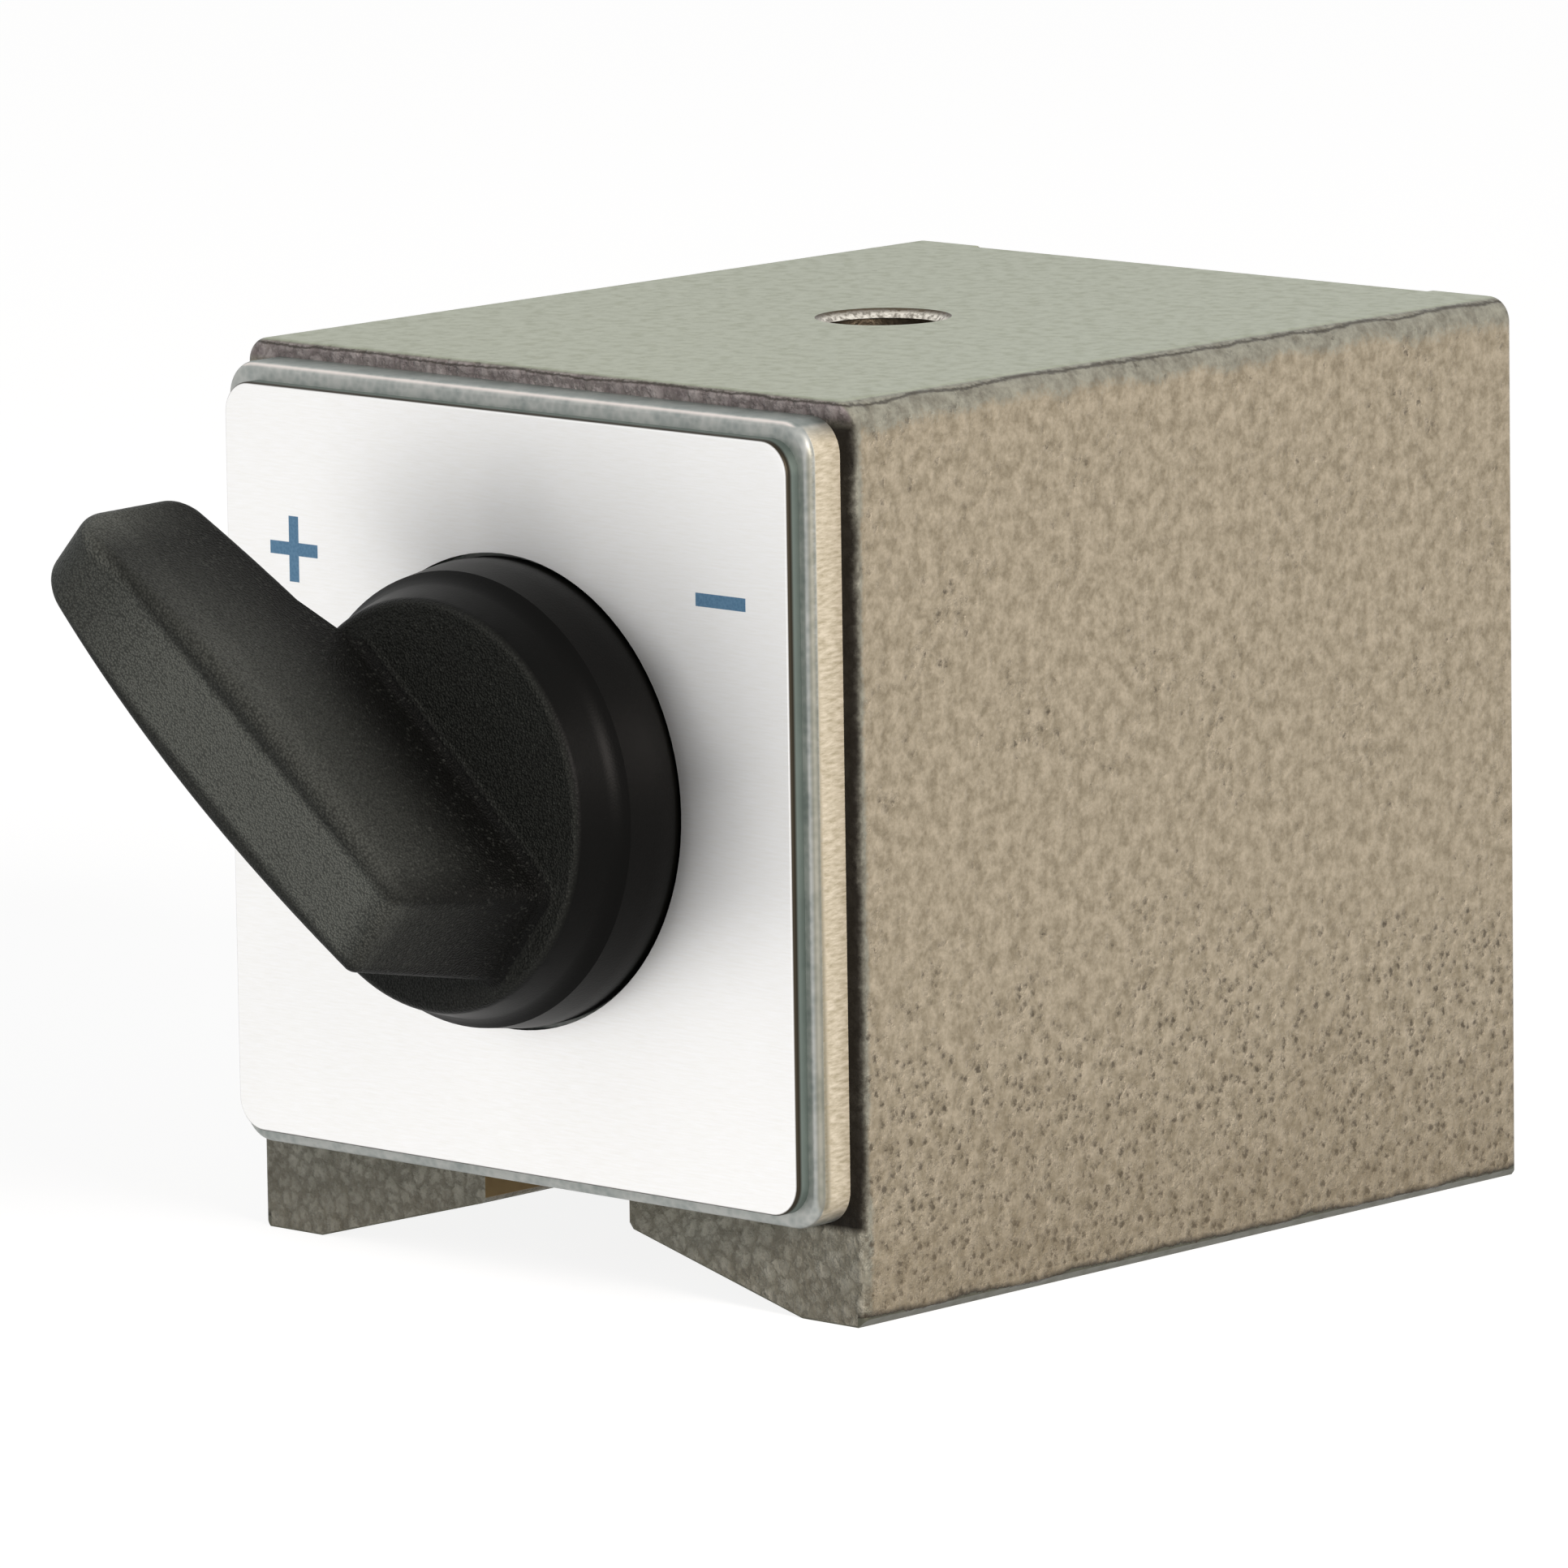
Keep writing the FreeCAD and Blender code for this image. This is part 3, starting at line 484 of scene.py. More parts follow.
def turned_metal(name, dark, light, roughness, mark_width, relief):
    """Machined bare metal: turning or drawing marks along Y as fine uneven lines, with a soft gloss
    and faint stains. The marks are drawn wider than real ones, so that they show."""
    material, tree, surface, place = new_material(name, {"Metallic": 1.0})
    stretch = add_node(tree, "ShaderNodeMapping", {
        "Vector": place,
        "Scale": (1 / mark_width, MARK_STRETCH / mark_width, 1 / mark_width)})
    marks = add_node(tree, "ShaderNodeTexNoise", {"Vector": stretch, "Scale": 1.0, "Detail": 4.0})
    stain = add_node(tree, "ShaderNodeTexNoise", {"Vector": place, "Scale": 1 / STAIN_SIZE,
                                                  "Detail": 3.0})
    tone = add_node(tree, "ShaderNodeMath", [marks, stain], operation="MULTIPLY")
    tone = add_node(tree, "ShaderNodeMapRange", [tone, 0.12, 0.4, 0.0, 1.0])
    tree.links.new(blend(tree, tone, dark, light), surface.inputs["Base Color"])
    gloss = add_node(tree, "ShaderNodeMapRange", [stain, 0.3, 0.7, roughness - 0.08,
                                                  roughness + 0.08])
    tree.links.new(gloss.outputs[0], surface.inputs["Roughness"])
    bump = add_node(tree, "ShaderNodeBump", {"Distance": relief, "Height": marks})
    tree.links.new(bump.outputs[0], surface.inputs["Normal"])
    return material


def bare_bore():
    """Countersunk and tapped brass, bare: a painted highlight, a bright ring low in the countersink,
    and the rest darkened with painted shade, with cutting marks."""
    material, tree, surface, place = new_material("brass_bore_countersunk_and_tapped", {
        "Metallic": 1.0})
    marks = add_node(tree, "ShaderNodeTexNoise", {"Vector": place, "Scale": 1 / CUTTING_MARK,
                                                  "Detail": 3.0, "Roughness": 0.6})
    height = add_node(tree, "ShaderNodeSeparateXYZ", [place]).outputs["Z"]
    uneven = add_node(tree, "ShaderNodeMath", [marks, 0.5 * MM, height], operation="MULTIPLY_ADD")
    upper = add_node(tree, "ShaderNodeMapRange", [uneven, BLOCK_H + 0.2 * MM, BLOCK_H - 0.05 * MM,
                                                  0.0, 1.0], interpolation_type="SMOOTHSTEP")
    lower = add_node(tree, "ShaderNodeMapRange", [height, BLOCK_H - COUNTERSINK - 0.1 * MM,
                                                  BLOCK_H - COUNTERSINK, 0.0, 1.0])
    # Painted highlight: a bright ring low in the countersink, broken by the cutting marks.
    painted_glint = add_node(tree, "ShaderNodeMath", [upper, lower], operation="MULTIPLY")
    broken = add_node(tree, "ShaderNodeMapRange", [marks, 0.4, 0.6, 0.25, 1.0])
    painted_glint = add_node(tree, "ShaderNodeMath", [painted_glint, broken], operation="MULTIPLY")
    # Painted shade: the rest of the hole is dark brass with cutting marks.
    dull = blend(tree, marks, "2c241a", "6e6455")
    tree.links.new(blend(tree, painted_glint, dull, "ece6da"), surface.inputs["Base Color"])
    gloss = add_node(tree, "ShaderNodeMapRange", [painted_glint, 0.0, 1.0, 0.45, 0.22])
    tree.links.new(gloss.outputs[0], surface.inputs["Roughness"])
    bump = add_node(tree, "ShaderNodeBump", {"Distance": CUTTING_RELIEF, "Height": marks})
    tree.links.new(bump.outputs[0], surface.inputs["Normal"])
    return material


bore_metal = bare_bore()
spacer = tapped_spacer()
finish_surface(spacer, enamel)
spacer.data.materials.append(bore_metal)
# The hole and its countersink are bare; all else is painted.
for face in spacer.data.polygons:
    inside = math.hypot(face.center.x, face.center.y) < THREAD_MOUTH_R
    in_hole = face.center.z > THREAD_HOLE_FLOOR - DRILL_POINT
    face.material_index = 1 if inside and in_hole else 0

thread = add_object("m8_thread_ridge", bpy.data.meshes.new("m8_thread_ridge"))
sweep = thread.modifiers.new("thread_ridge", "NODES")
sweep.node_group = thread_tree(bore_metal)
plain_mesh(thread)
thread.data.transform(Matrix.Translation((0, 0, THREAD_TOP - THREAD_TURNS * THREAD_PITCH)))
for piece in (spacer, thread):
    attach(piece, "base")
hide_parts("top_spacer")


# Face plate and its screws
# Steel plate sheared from strip, its front arris rolled over, zinc plated blue. Four slotted
# countersunk steel screws, hidden under the label, hold it to the poles.

ROLL_OVER = 0.5 * MM
PLATING_CLOUD = 2.5 * MM
TEAR_LENGTH = 0.9 * MM
TEAR_WIDTH = 0.22 * MM
TEAR_SLANT = (0.6, 0.0, 0.0)
TEAR_RELIEF = 0.05 * MM
# Real crystals are some hundredths of a millimetre; they are drawn coarser so that they show.
ZINC_CRYSTAL = 0.5 * MM


def zinc_plated_steel():
    """Zinc plating on sheared steel: blue-grey satin with small crystals. The cut sides show bright
    ragged shear marks behind a rolled-over arris, where the plating is thin and yellower; a dark
    ragged seam and painted shade darken that arris. The upper edge has a painted highlight, a thin
    bright line, with painted shade on the top face behind it."""
    material, tree, surface, place = new_material("zinc_plated_steel_sheared", {
        "Specular IOR Level": 0.3})
    crystals = add_node(tree, "ShaderNodeTexVoronoi", {"Vector": place, "Scale": 1 / ZINC_CRYSTAL})
    cloud = add_node(tree, "ShaderNodeTexNoise", {"Vector": place, "Scale": 1 / PLATING_CLOUD,
                                                  "Detail": 4.0})
    tone = add_node(tree, "ShaderNodeMath", [crystals.outputs["Distance"], 0.4, cloud],
                    operation="MULTIPLY_ADD")
    tone = add_node(tree, "ShaderNodeMapRange", [tone, 0.45, 0.85, 0.0, 1.0])
    plating = blend(tree, tone, "999f9c", "bbbdb9")
    xyz = add_node(tree, "ShaderNodeSeparateXYZ", [place])
    side = add_node(tree, "ShaderNodeMath", [xyz.outputs["X"]], operation="ABSOLUTE")
    cut = add_node(tree, "ShaderNodeMapRange", [side, PLATE[1].x - 1.1 * MM,
                                                PLATE[1].x - 0.2 * MM, 0.0, 1.0])
    depth = add_node(tree, "ShaderNodeMath", [xyz.outputs["Y"], -PLATE[0].y], operation="ADD")
    back = add_node(tree, "ShaderNodeMapRange", [depth, ROLL_OVER, ROLL_OVER + 0.12 * MM, 0.0,
                                                 1.0])
    cut = add_node(tree, "ShaderNodeMath", [cut, back], operation="MULTIPLY")
    slant = add_node(tree, "ShaderNodeMapping", {
        "Vector": place, "Rotation": TEAR_SLANT, "Scale": (1.0, 1 / TEAR_LENGTH, 1 / TEAR_WIDTH)})
    tears = add_node(tree, "ShaderNodeTexNoise", {"Vector": slant, "Scale": 1.0, "Detail": 3.0,
                                                  "Roughness": 0.6})
    tear_tone = add_node(tree, "ShaderNodeMapRange", [tears, 0.3, 0.7, 0.0, 1.0])
    sheared = blend(tree, tear_tone, "b9b096", "ece4cf")

    # The dark ragged seam between the rolled-over arris and the cut, wider low down. It also lays
    # painted shade over the arris, dulling its highlight.
    lower = add_node(tree, "ShaderNodeMapRange", [xyz.outputs["Z"], 45 * MM, 8 * MM, 0.1 * MM,
                                                  0.6 * MM])
    ragged = add_node(tree, "ShaderNodeMath", [tears, 0.5 * MM, lower], operation="MULTIPLY_ADD")
    seam_and_painted_shade = add_node(tree, "ShaderNodeMath", [depth, ragged], operation="SUBTRACT")
    seam_and_painted_shade = add_node(tree, "ShaderNodeMapRange", [seam_and_painted_shade, 0.3 * MM, -0.1 * MM, 0.0, 0.65],
                    interpolation_type="SMOOTHSTEP")
    outer = add_node(tree, "ShaderNodeMapRange", [side, PLATE[1].x - 0.3 * MM,
                                                  PLATE[1].x - 0.15 * MM, 0.0, 1.0])
    seam_and_painted_shade = add_node(tree, "ShaderNodeMath", [seam_and_painted_shade, outer], operation="MULTIPLY")

    # The upper edge: a painted highlight along the arris in front, and painted shade on the top face
    # behind it.
    top = add_node(tree, "ShaderNodeMapRange", [xyz.outputs["Z"], PLATE[1].z - 0.4 * MM,
                                                PLATE[1].z - 0.25 * MM, 0.0, 1.0])
    painted_arris_highlight = add_node(tree, "ShaderNodeMath", [depth, 0.15 * MM], operation="SUBTRACT")
    painted_arris_highlight = add_node(tree, "ShaderNodeMath", [painted_arris_highlight], operation="ABSOLUTE")
    painted_arris_highlight = add_node(tree, "ShaderNodeMapRange", [painted_arris_highlight, 0.02 * MM, 0.12 * MM, 0.7, 0.0])
    painted_arris_highlight = add_node(tree, "ShaderNodeMath", [painted_arris_highlight, top], operation="MULTIPLY")
    shadow = add_node(tree, "ShaderNodeMapRange", [depth, 0.25 * MM, 0.4 * MM, 0.0, 0.6])
    shadow = add_node(tree, "ShaderNodeMath", [shadow, top], operation="MULTIPLY")
    plating = blend(tree, shadow, plating, "6b7672")
    plating = blend(tree, painted_arris_highlight, plating, "fdf2ec")
    tone = blend(tree, cut, plating, sheared)
    tree.links.new(blend(tree, seam_and_painted_shade, tone, "706e5c"), surface.inputs["Base Color"])
    metal = add_node(tree, "ShaderNodeMapRange", [cut, 0.0, 1.0, 0.8, 0.15])
    tree.links.new(metal.outputs[0], surface.inputs["Metallic"])
    gloss = add_node(tree, "ShaderNodeMapRange", [cloud, 0.3, 0.7, 0.42, 0.52])
    tree.links.new(gloss.outputs[0], surface.inputs["Roughness"])
    rough = add_node(tree, "ShaderNodeMath", [cut, tears], operation="MULTIPLY")
    relief = add_node(tree, "ShaderNodeMath", [crystals.outputs["Distance"], 0.12, rough],
                      operation="MULTIPLY_ADD")
    bump = add_node(tree, "ShaderNodeBump", {"Distance": TEAR_RELIEF, "Height": relief})
    tree.links.new(bump.outputs[0], surface.inputs["Normal"])
    return material


zinc = zinc_plated_steel()
screw_steel = turned_metal("screw_steel_turned_and_blacked", "4f4f4d", "77756f", 0.35, 0.3 * MM,
                           0.01 * MM)
finish_surface(nodes["face_plate"], zinc)
finish_surface(nodes["face_plate_screws"], screw_steel)


# Label plate and its marks
# Aluminium sheet, punched out with a round window for the knob, brushed along its width and glued
# to the face plate. The plus and minus that show on and off are screen printed in steel blue.

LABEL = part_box("label_plate")
PLUS_X = -17.46 * MM
MINUS_X = 17.79 * MM
MARK_Z = 43.05 * MM
MARK_ARM = 2.0 * MM
MARK_BAR = 0.8 * MM
MARK_FILM = 0.02 * MM
GLOSS_CLOUD = 12 * MM
# Real brush lines and screen threads are under 0.05 mm; both are drawn coarser so that they show.
BRUSH_LENGTH = 1.6 * MM
BRUSH_WIDTH = 0.14 * MM
BRUSH_RELIEF = 0.004 * MM
SCREEN_MESH = 0.18 * MM


def brushed_aluminium():
    """Brushed and clear lacquered aluminium: pale, with hair lines along the width that spread the
    light. Its punched edge is drawn dark next to the face, as painted shade, and grey further back."""
    material, tree, surface, place = new_material("aluminium_sheet_brushed_and_lacquered", {
        "Metallic": 1.0})
    lines = add_node(tree, "ShaderNodeMapping", {
        "Vector": place, "Scale": (1 / BRUSH_LENGTH, 1.0, 1 / BRUSH_WIDTH)})
    hair = add_node(tree, "ShaderNodeTexNoise", {"Vector": lines, "Scale": 1.0, "Detail": 4.0,
                                                 "Roughness": 0.65})
    cloud = add_node(tree, "ShaderNodeTexNoise", {"Vector": place, "Scale": 1 / GLOSS_CLOUD,
                                                  "Detail": 2.0})
    tone = add_node(tree, "ShaderNodeMapRange", [hair, 0.25, 0.75, 0.0, 1.0])
    depth = add_node(tree, "ShaderNodeSeparateXYZ", [place]).outputs["Y"]
    edge = add_node(tree, "ShaderNodeMapRange", [depth, LABEL[0].y + 0.01 * MM,
                                                 LABEL[0].y + 0.06 * MM, 0.0, 1.0])
    inner = add_node(tree, "ShaderNodeMapRange", [depth, LABEL[0].y + 0.3 * MM,
                                                  LABEL[0].y + 0.5 * MM, 0.0, 1.0])
    face = blend(tree, tone, "f8f7f4", "ffffff")
    # Painted shade: the punched edge is dark next to the face and grey further back.
    punched = blend(tree, inner, "3b362d", "7c8781")
    tree.links.new(blend(tree, edge, face, punched), surface.inputs["Base Color"])
    gloss = add_node(tree, "ShaderNodeMapRange", [cloud, 0.3, 0.7, 0.42, 0.52])
    tree.links.new(gloss.outputs[0], surface.inputs["Roughness"])
    bump = add_node(tree, "ShaderNodeBump", {"Strength": 0.5, "Distance": BRUSH_RELIEF,
                                             "Height": hair})
    tree.links.new(bump.outputs[0], surface.inputs["Normal"])
    return material


def printing_ink():
    """Screen printed steel blue ink: a thin film that the metal shines through, with the mesh of
    the screen faintly in it."""
    material, tree, surface, place = new_material("steel_blue_ink_screen_printed", {
        "Metallic": 0.8, "Roughness": 0.5, "Specular IOR Level": 0.3})
    mesh_lines = add_node(tree, "ShaderNodeTexVoronoi", {"Vector": place,
                                                         "Scale": 1 / SCREEN_MESH})
    tone = add_node(tree, "ShaderNodeMapRange", [mesh_lines.outputs["Distance"], 0.1, 0.8, 0.0,
                                                 1.0])
    tree.links.new(blend(tree, tone, "5c82a0", "6b91ae"), surface.inputs["Base Color"])
    return material


def printed_mark(name, x, outline):
    """A thin closed film with this outline, half sunk in the label's face."""
    front = LABEL[0].y - MARK_FILM / 2
    bm = bmesh.new()
    face = bm.faces.new([bm.verts.new((x + u, front, MARK_Z + v)) for u, v in outline])
    made = bmesh.ops.extrude_face_region(bm, geom=[face])
    moved = [v for v in made["geom"] if isinstance(v, bmesh.types.BMVert)]
    bmesh.ops.translate(bm, verts=moved, vec=(0, MARK_FILM, 0))
    bmesh.ops.recalc_face_normals(bm, faces=bm.faces)
    mesh = bpy.data.meshes.new(name)
    bm.to_mesh(mesh)
    bm.free()
    return add_object(name, mesh)


finish_surface(nodes["label_plate"], brushed_aluminium())
ink = printing_ink()
arm = MARK_ARM
bar = MARK_BAR / 2
minus = [(arm, bar), (-arm, bar), (-arm, -bar), (arm, -bar)]
plus = [(arm, bar), (bar, bar), (bar, arm), (-bar, arm), (-bar, bar), (-arm, bar),
        (-arm, -bar), (-bar, -bar), (-bar, -arm), (bar, -arm), (bar, -bar), (arm, -bar)]
for mark in (printed_mark("plus_mark", PLUS_X, plus), printed_mark("minus_mark", MINUS_X, minus)):
    mark.data.materials.append(ink)
    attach(mark, "base")


# Front bearing and stop
# Sintered bronze flange bush pressed into the face plate, a spring steel wave washer that keeps
# the rotor back, and a hardened stop pin pressed into the plate.

bronze = turned_metal("sintered_bronze_turned", "7a5a34", "b0864f", 0.38, 0.25 * MM, 0.01 * MM)
spring_steel = turned_metal("spring_steel_rolled_and_tempered", "55585c", "8d9094", 0.28,
                            0.2 * MM, 0.005 * MM)
finish_surface(nodes["front_bush"], bronze)
finish_surface(nodes["wave_washer"], spring_steel)
finish_surface(nodes["stop_pin"], screw_steel)


# Rotor
# Two soft iron shoes and two aluminium strips round two ferrite blocks, closed by die cast zinc
# caps and held by two steel rivets through the stack. The front cap carries the journal and square.

CAST_GRAIN = 0.3 * MM
FERRITE_GRAIN = 0.4 * MM

soft_iron = turned_metal("soft_iron_turned", "6a6762", "98948c", 0.33, 0.3 * MM, 0.012 * MM)
aluminium = turned_metal("aluminium_bar_drawn", "a9abab", "d2d3d2", 0.32, 0.3 * MM, 0.008 * MM)


def cast_zinc():
    """Die cast zinc: dull light grey with the even grain of the blasted die, drawn coarser so that
    it shows."""
    material, tree, surface, place = new_material("zinc_alloy_die_cast", {"Metallic": 1.0})
    grain = add_node(tree, "ShaderNodeTexNoise", {"Vector": place, "Scale": 1 / CAST_GRAIN,
                                                  "Detail": 3.0})
    tone = add_node(tree, "ShaderNodeMapRange", [grain, 0.3, 0.7, 0.0, 1.0])
    tree.links.new(blend(tree, tone, "868686", "a9a9a8"), surface.inputs["Base Color"])
    gloss = add_node(tree, "ShaderNodeMapRange", [grain, 0.3, 0.7, 0.4, 0.52])
    tree.links.new(gloss.outputs[0], surface.inputs["Roughness"])
    bump = add_node(tree, "ShaderNodeBump", {"Distance": 0.012 * MM, "Height": grain})
    tree.links.new(bump.outputs[0], surface.inputs["Normal"])
    return material


def ferrite():
    """Sintered and ground ferrite: a dark grey ceramic with a faint sheen and small chips, which are
    drawn coarser so that they show."""
    material, tree, surface, place = new_material("ferrite_sintered_and_ground", {
        "Specular IOR Level": 0.55})
    grain = add_node(tree, "ShaderNodeTexNoise", {"Vector": place, "Scale": 1 / FERRITE_GRAIN,
                                                  "Detail": 5.0})
    tone = add_node(tree, "ShaderNodeMapRange", [grain, 0.35, 0.75, 0.0, 1.0])
    tree.links.new(blend(tree, tone, "242426", "3c3c3f"), surface.inputs["Base Color"])
    gloss = add_node(tree, "ShaderNodeMapRange", [grain, 0.3, 0.7, 0.4, 0.6])
    tree.links.new(gloss.outputs[0], surface.inputs["Roughness"])
    bump = add_node(tree, "ShaderNodeBump", {"Distance": 0.02 * MM, "Height": grain})
    tree.links.new(bump.outputs[0], surface.inputs["Normal"])
    return material


die_cast = cast_zinc()
magnet = ferrite()
for name in ("rotor_front_cap", "rotor_rear_cap"):
    finish_surface(nodes[name], die_cast)
for name in ("rotor_shoe_left", "rotor_shoe_right"):
    finish_surface(nodes[name], soft_iron)
for name in ("rotor_strip_upper", "rotor_strip_lower"):
    finish_surface(nodes[name], aluminium)
for name in ("magnet_front", "magnet_rear"):
    finish_surface(nodes[name], magnet)
finish_surface(nodes["rotor_tie_rivets"], screw_steel)


# Rear bearing and cover
# Aluminium disc with a bronze bush and thrust washer behind the rotor, closed by a zinc plated
# steel cover let into the back of the block and held by four domed steel drive rivets.

finish_surface(nodes["rear_disc"], aluminium)
for name in ("rear_bush", "thrust_washer"):
    finish_surface(nodes[name], bronze)
finish_surface(nodes["rear_cover"], zinc)
finish_surface(nodes["rear_cover_rivets"], screw_steel)


# Knob, its insert and clip
# Moulded glass-filled nylon: a grooved ring, a hub and one long wing, spark-eroded grain on the
# wing and hub face and smooth rings. A brass hexagon with a spring clip grips the rotor's square.

AXIS_Z = 30 * MM
HUB_FACE_R = 12.15 * MM
HUB_FRONT_Y = LABEL[0].y - 6.85 * MM
RIDGE_Y = LABEL[0].y - 17.35 * MM
# The wing's directions, and from the axis the spans where painted shade darkens its front.
WING_ALONG = (-0.737, 0.0, 0.676)
WING_ACROSS = (0.676, 0.0, 0.737)
BLUNT_END = (-8.8 * MM, -6.3 * MM)
FLANK = (2.3 * MM, 2.9 * MM)
TIP = (11 * MM, 19 * MM)
# Spark-eroded grain of about 0.05 mm, drawn coarser so that it shows.
ERODED_GRAIN = 0.14 * MM
ERODED_RELIEF = 0.07 * MM
SMOKE_SIZE = 5 * MM


def moulded_nylon():
    """Black glass-filled nylon, injection moulded: fine eroded grain on the wing and hub face that
    catches the light in specks, and smooth dark rings. Painted light greys the wing's front and
    ridge, and painted shade darkens its flanks, tip, blunt end and root; the hub face is a grey tone."""
    material, tree, surface, place = new_material("nylon_black_injection_moulded", {
        "IOR": 1.5, "Specular IOR Level": 0.07})
    grain = add_node(tree, "ShaderNodeTexVoronoi", {"Vector": place, "Scale": 1 / ERODED_GRAIN})
    cloud = add_node(tree, "ShaderNodeTexNoise", {"Vector": place, "Scale": 1 / SMOKE_SIZE,
                                                  "Detail": 3.0})
    centred = add_node(tree, "ShaderNodeMapping", {"Vector": place,
                                                   "Location": (0.0, 0.0, -AXIS_Z)})
    xyz = add_node(tree, "ShaderNodeSeparateXYZ", [centred])
    flat = add_node(tree, "ShaderNodeCombineXYZ", {"X": xyz.outputs["X"], "Y": xyz.outputs["Z"]})
    radius = add_node(tree, "ShaderNodeVectorMath", [flat], operation="LENGTH").outputs["Value"]
    along = add_node(tree, "ShaderNodeVectorMath", [centred, WING_ALONG],
                     operation="DOT_PRODUCT").outputs["Value"]
    inside = add_node(tree, "ShaderNodeMapRange", [radius, HUB_FACE_R, HUB_FACE_R + 0.3 * MM,
                                                   1.0, 0.0])
    forward = add_node(tree, "ShaderNodeMath", [xyz.outputs["Y"], HUB_FRONT_Y - 0.4 * MM],
                       operation="LESS_THAN")
    grained = add_node(tree, "ShaderNodeMath", [inside, forward], operation="MAXIMUM")
    # Painted light and shade: greyer on the wing's front and ridge, darker on its flanks, tip, blunt
    # end and root, with a grey tone on the hub face.
    painted_light_and_shade = add_node(tree, "ShaderNodeMapRange", [xyz.outputs["Y"], HUB_FRONT_Y - 1.8 * MM,
                                                   RIDGE_Y, 0.0, 0.8],
                      interpolation_type="SMOOTHSTEP")
    ridge = add_node(tree, "ShaderNodeMapRange", [xyz.outputs["Y"], RIDGE_Y + 1.2 * MM, RIDGE_Y,
                                                  0.0, 0.3])
    painted_light_and_shade = add_node(tree, "ShaderNodeMath", [painted_light_and_shade, ridge], operation="ADD")
    blunt = add_node(tree, "ShaderNodeMapRange", [along, *BLUNT_END, 0.15, 1.0])
    across = add_node(tree, "ShaderNodeVectorMath", [centred, WING_ACROSS],
                      operation="DOT_PRODUCT").outputs["Value"]
    across = add_node(tree, "ShaderNodeMath", [across], operation="ABSOLUTE")
    flank = add_node(tree, "ShaderNodeMapRange", [across, *FLANK, 1.0, 0.25])
    tip = add_node(tree, "ShaderNodeMapRange", [along, *TIP, 1.0, 0.5])
    for share in (blunt, flank, tip):
        painted_light_and_shade = add_node(tree, "ShaderNodeMath", [painted_light_and_shade, share], operation="MULTIPLY")
    face = add_node(tree, "ShaderNodeMapRange", [xyz.outputs["Y"], HUB_FRONT_Y - 0.15 * MM,
                                                 HUB_FRONT_Y - 0.02 * MM, 0.01, 0.14])
    painted_light_and_shade = add_node(tree, "ShaderNodeMath", [grained, face, painted_light_and_shade], operation="MULTIPLY_ADD")
    speck = add_node(tree, "ShaderNodeMapRange", [grain.outputs["Distance"], 0.05, 0.75, 1.5, 0.55])
    tone = add_node(tree, "ShaderNodeMath", [painted_light_and_shade, speck], operation="MULTIPLY")
    glint = add_node(tree, "ShaderNodeSeparateColor", [grain.outputs["Color"]])
    glint = add_node(tree, "ShaderNodeMapRange", [glint, 0.9, 0.98, 0.0, 0.09])
    glint = add_node(tree, "ShaderNodeMath", [glint, grained], operation="MULTIPLY")
    tone = add_node(tree, "ShaderNodeMath", [tone, glint], operation="ADD")
    black = blend(tree, cloud, "040403", "080807")
    tree.links.new(blend(tree, tone, black, "80847e"), surface.inputs["Base Color"])
    gloss = add_node(tree, "ShaderNodeMapRange", [grained, 0.0, 1.0, 0.4, 0.5])
    tree.links.new(gloss.outputs[0], surface.inputs["Roughness"])
    depth = add_node(tree, "ShaderNodeMapRange", [grained, 0.0, 1.0, 0.06, 1.0])
    relief = add_node(tree, "ShaderNodeMath", [grain.outputs["Distance"], depth],
                      operation="MULTIPLY")
    bump = add_node(tree, "ShaderNodeBump", {"Distance": ERODED_RELIEF, "Height": relief})
    tree.links.new(bump.outputs[0], surface.inputs["Normal"])
    return material


brass = turned_metal("brass_hexagon_drawn", "9a7a3a", "cdaa5c", 0.3, 0.3 * MM, 0.008 * MM)
finish_surface(nodes["knob"], moulded_nylon())
finish_surface(nodes["knob_insert"], brass)
finish_surface(nodes["knob_clip"], spring_steel)


# Floor, light and camera
# A white paper table and a white surround that fills the background, one softbox at the right,
# and a long lens that looks slightly down on the block.

FLOOR_SIZE = 4.0
FLOOR_GLOW = 0.87
SURROUND_LIGHT = 0.3
SOFTBOX_PLACE = Vector((0.8, -0.2, 0.35))
SOFTBOX_SIZE = 0.3
SOFTBOX_POWER = 6.2
CAMERA_TARGET = Vector((0, 0, 27.5 * MM))
CAMERA_AZIMUTH = math.radians(42.584)
CAMERA_ELEVATION = math.radians(9.287)
CAMERA_ROLL = math.radians(-0.788)
CAMERA_DISTANCE = 806.5 * MM
CAMERA_LENS = 301.4
CAMERA_SHIFT = (-0.0671, -0.0149)
CAMERA_NEAR = 50 * MM


def white_behind(tree, other):
    """1 for what the camera sees directly, in a mirror or through glass, else other."""
    path = add_node(tree, "ShaderNodeLightPath")
    seen = add_node(tree, "ShaderNodeMath", [path.outputs["Is Camera Ray"],
                                             path.outputs["Is Glossy Ray"]], operation="MAXIMUM")
    seen = add_node(tree, "ShaderNodeMath", [seen, path.outputs["Is Transmission Ray"]],
                    operation="MAXIMUM")
    return add_node(tree, "ShaderNodeMapRange", [seen, 0.0, 1.0, other, 1.0])


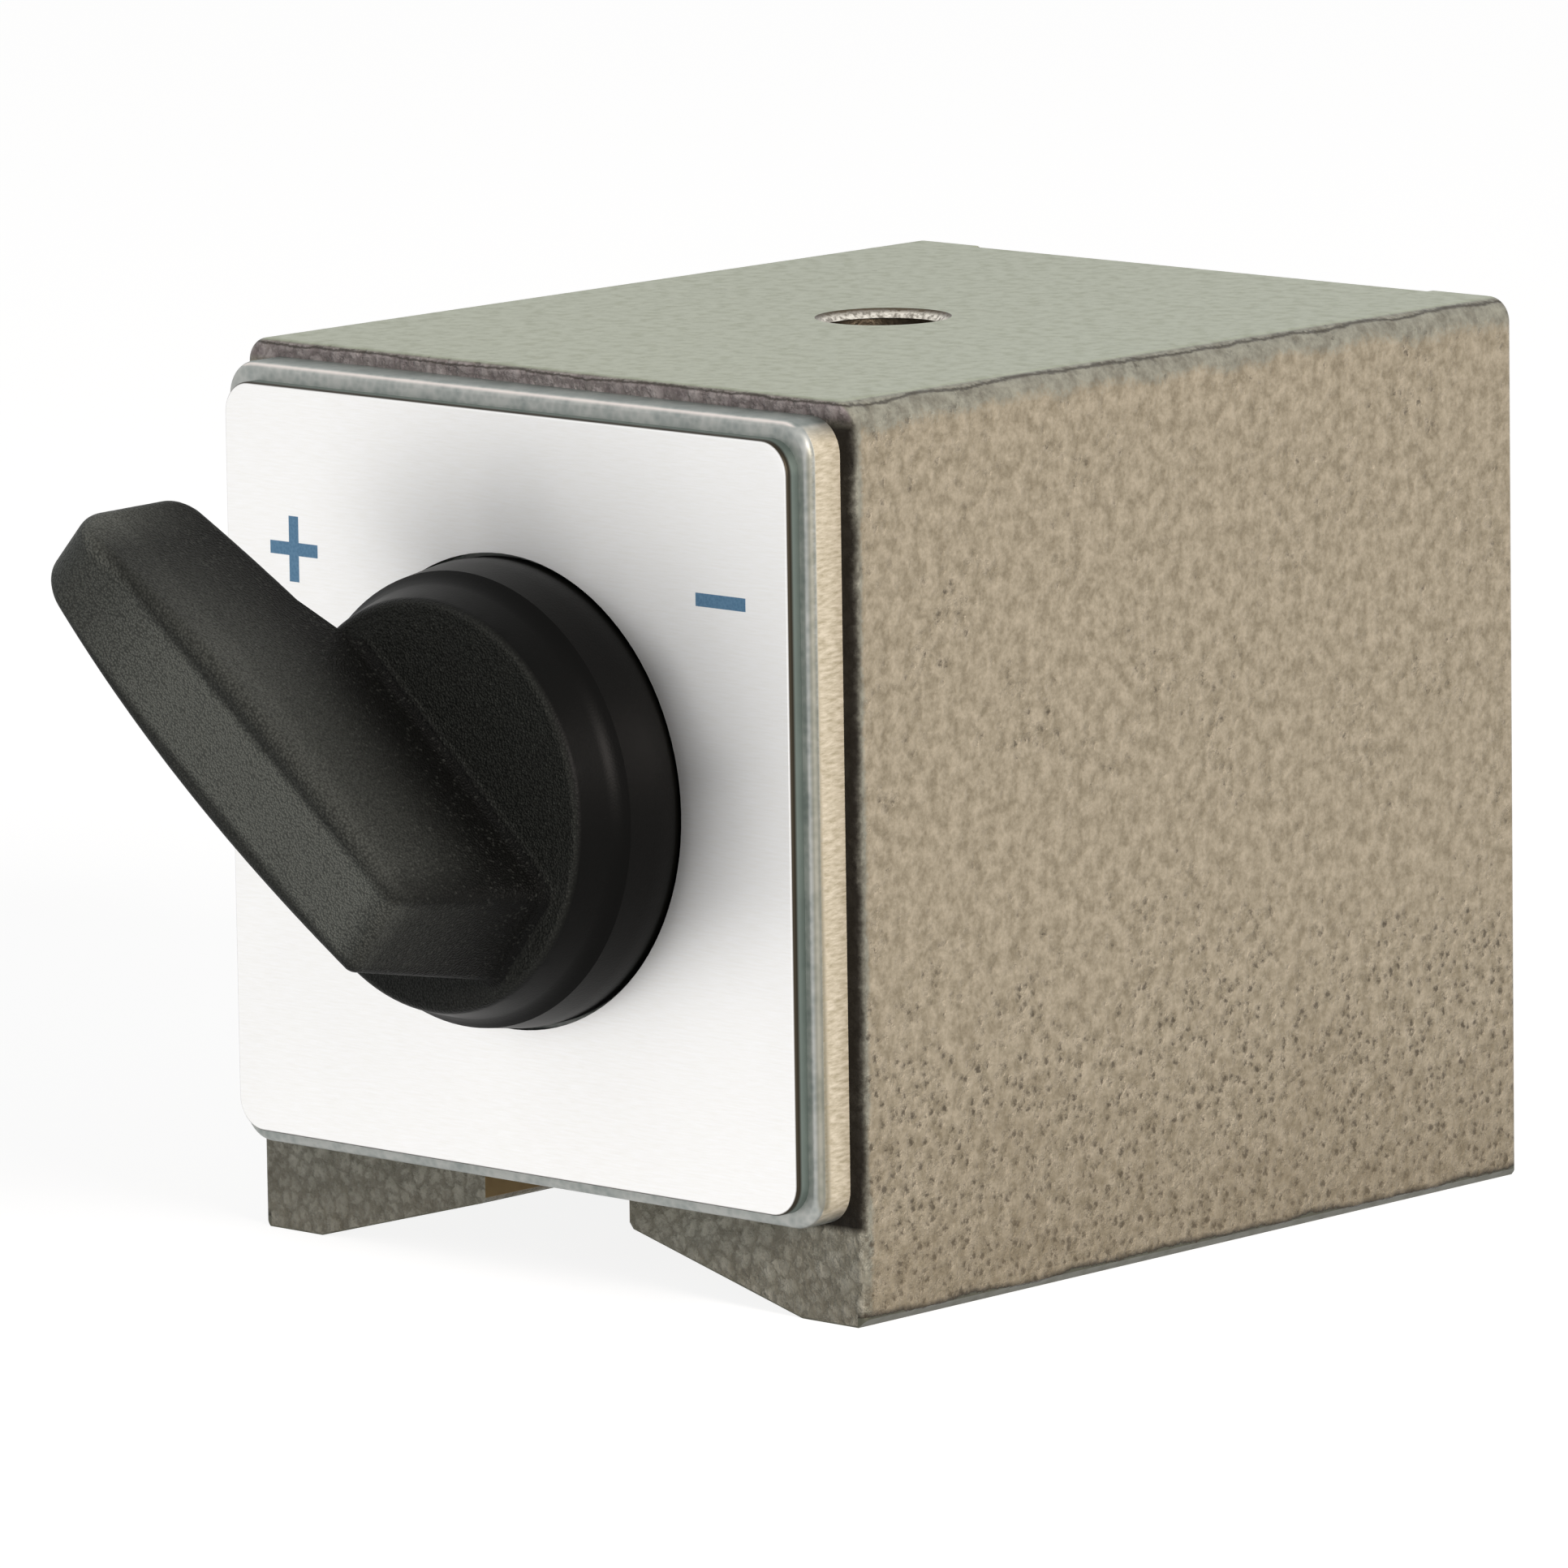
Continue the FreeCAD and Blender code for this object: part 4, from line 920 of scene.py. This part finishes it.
floor_mesh = bpy.data.meshes.new("table_top")
half = FLOOR_SIZE / 2
floor_mesh.from_pydata([(-half, -half, 0), (half, -half, 0), (half, half, 0), (-half, half, 0)],
                       [], [(0, 1, 2, 3)])
floor = add_object("table_top", floor_mesh)
paper, tree, surface, _ = new_material("white_paper_table", {
    "Base Color": linear("9a9a9a"), "Roughness": 0.9, "Specular IOR Level": 0.0,
    "Emission Color": linear("ffffff")})
white = white_behind(tree, 0.0)
glow = add_node(tree, "ShaderNodeMath", [white, FLOOR_GLOW], operation="MULTIPLY")
tree.links.new(glow.outputs[0], surface.inputs["Emission Strength"])
floor_mesh.materials.append(paper)

world = bpy.data.worlds.new("studio")
bpy.context.scene.world = world
world.use_nodes = True
background = world.node_tree.nodes["Background"]
background.inputs["Color"].default_value = linear("ffffff")
world.node_tree.links.new(white_behind(world.node_tree, SURROUND_LIGHT).outputs[0],
                          background.inputs["Strength"])

softbox = bpy.data.lights.new("right_softbox", "AREA")
softbox.size = SOFTBOX_SIZE
softbox.energy = SOFTBOX_POWER
softbox.color = linear("fff4ed")[:3]
lamp = add_object("right_softbox", softbox)
lamp.location = SOFTBOX_PLACE
lamp.rotation_euler = (CAMERA_TARGET - SOFTBOX_PLACE).to_track_quat("-Z", "Y").to_euler()

a, e, r = CAMERA_AZIMUTH, CAMERA_ELEVATION, CAMERA_ROLL
back = Vector((math.sin(a) * math.cos(e), -math.cos(a) * math.cos(e), math.sin(e)))
right = Vector((math.cos(a), math.sin(a), 0))
up = back.cross(right)
turned_right = right * math.cos(r) + up * math.sin(r)
turned_up = up * math.cos(r) - right * math.sin(r)
lens = bpy.data.cameras.new("studio_camera")
lens.lens = CAMERA_LENS
lens.shift_x, lens.shift_y = CAMERA_SHIFT
lens.clip_start = CAMERA_NEAR
camera = add_object("studio_camera", lens)
camera.matrix_world = Matrix((turned_right, turned_up, back)).transposed().to_4x4()
camera.location = CAMERA_TARGET + back * CAMERA_DISTANCE
bpy.context.scene.camera = camera
bpy.context.scene.view_settings.view_transform = "Standard"
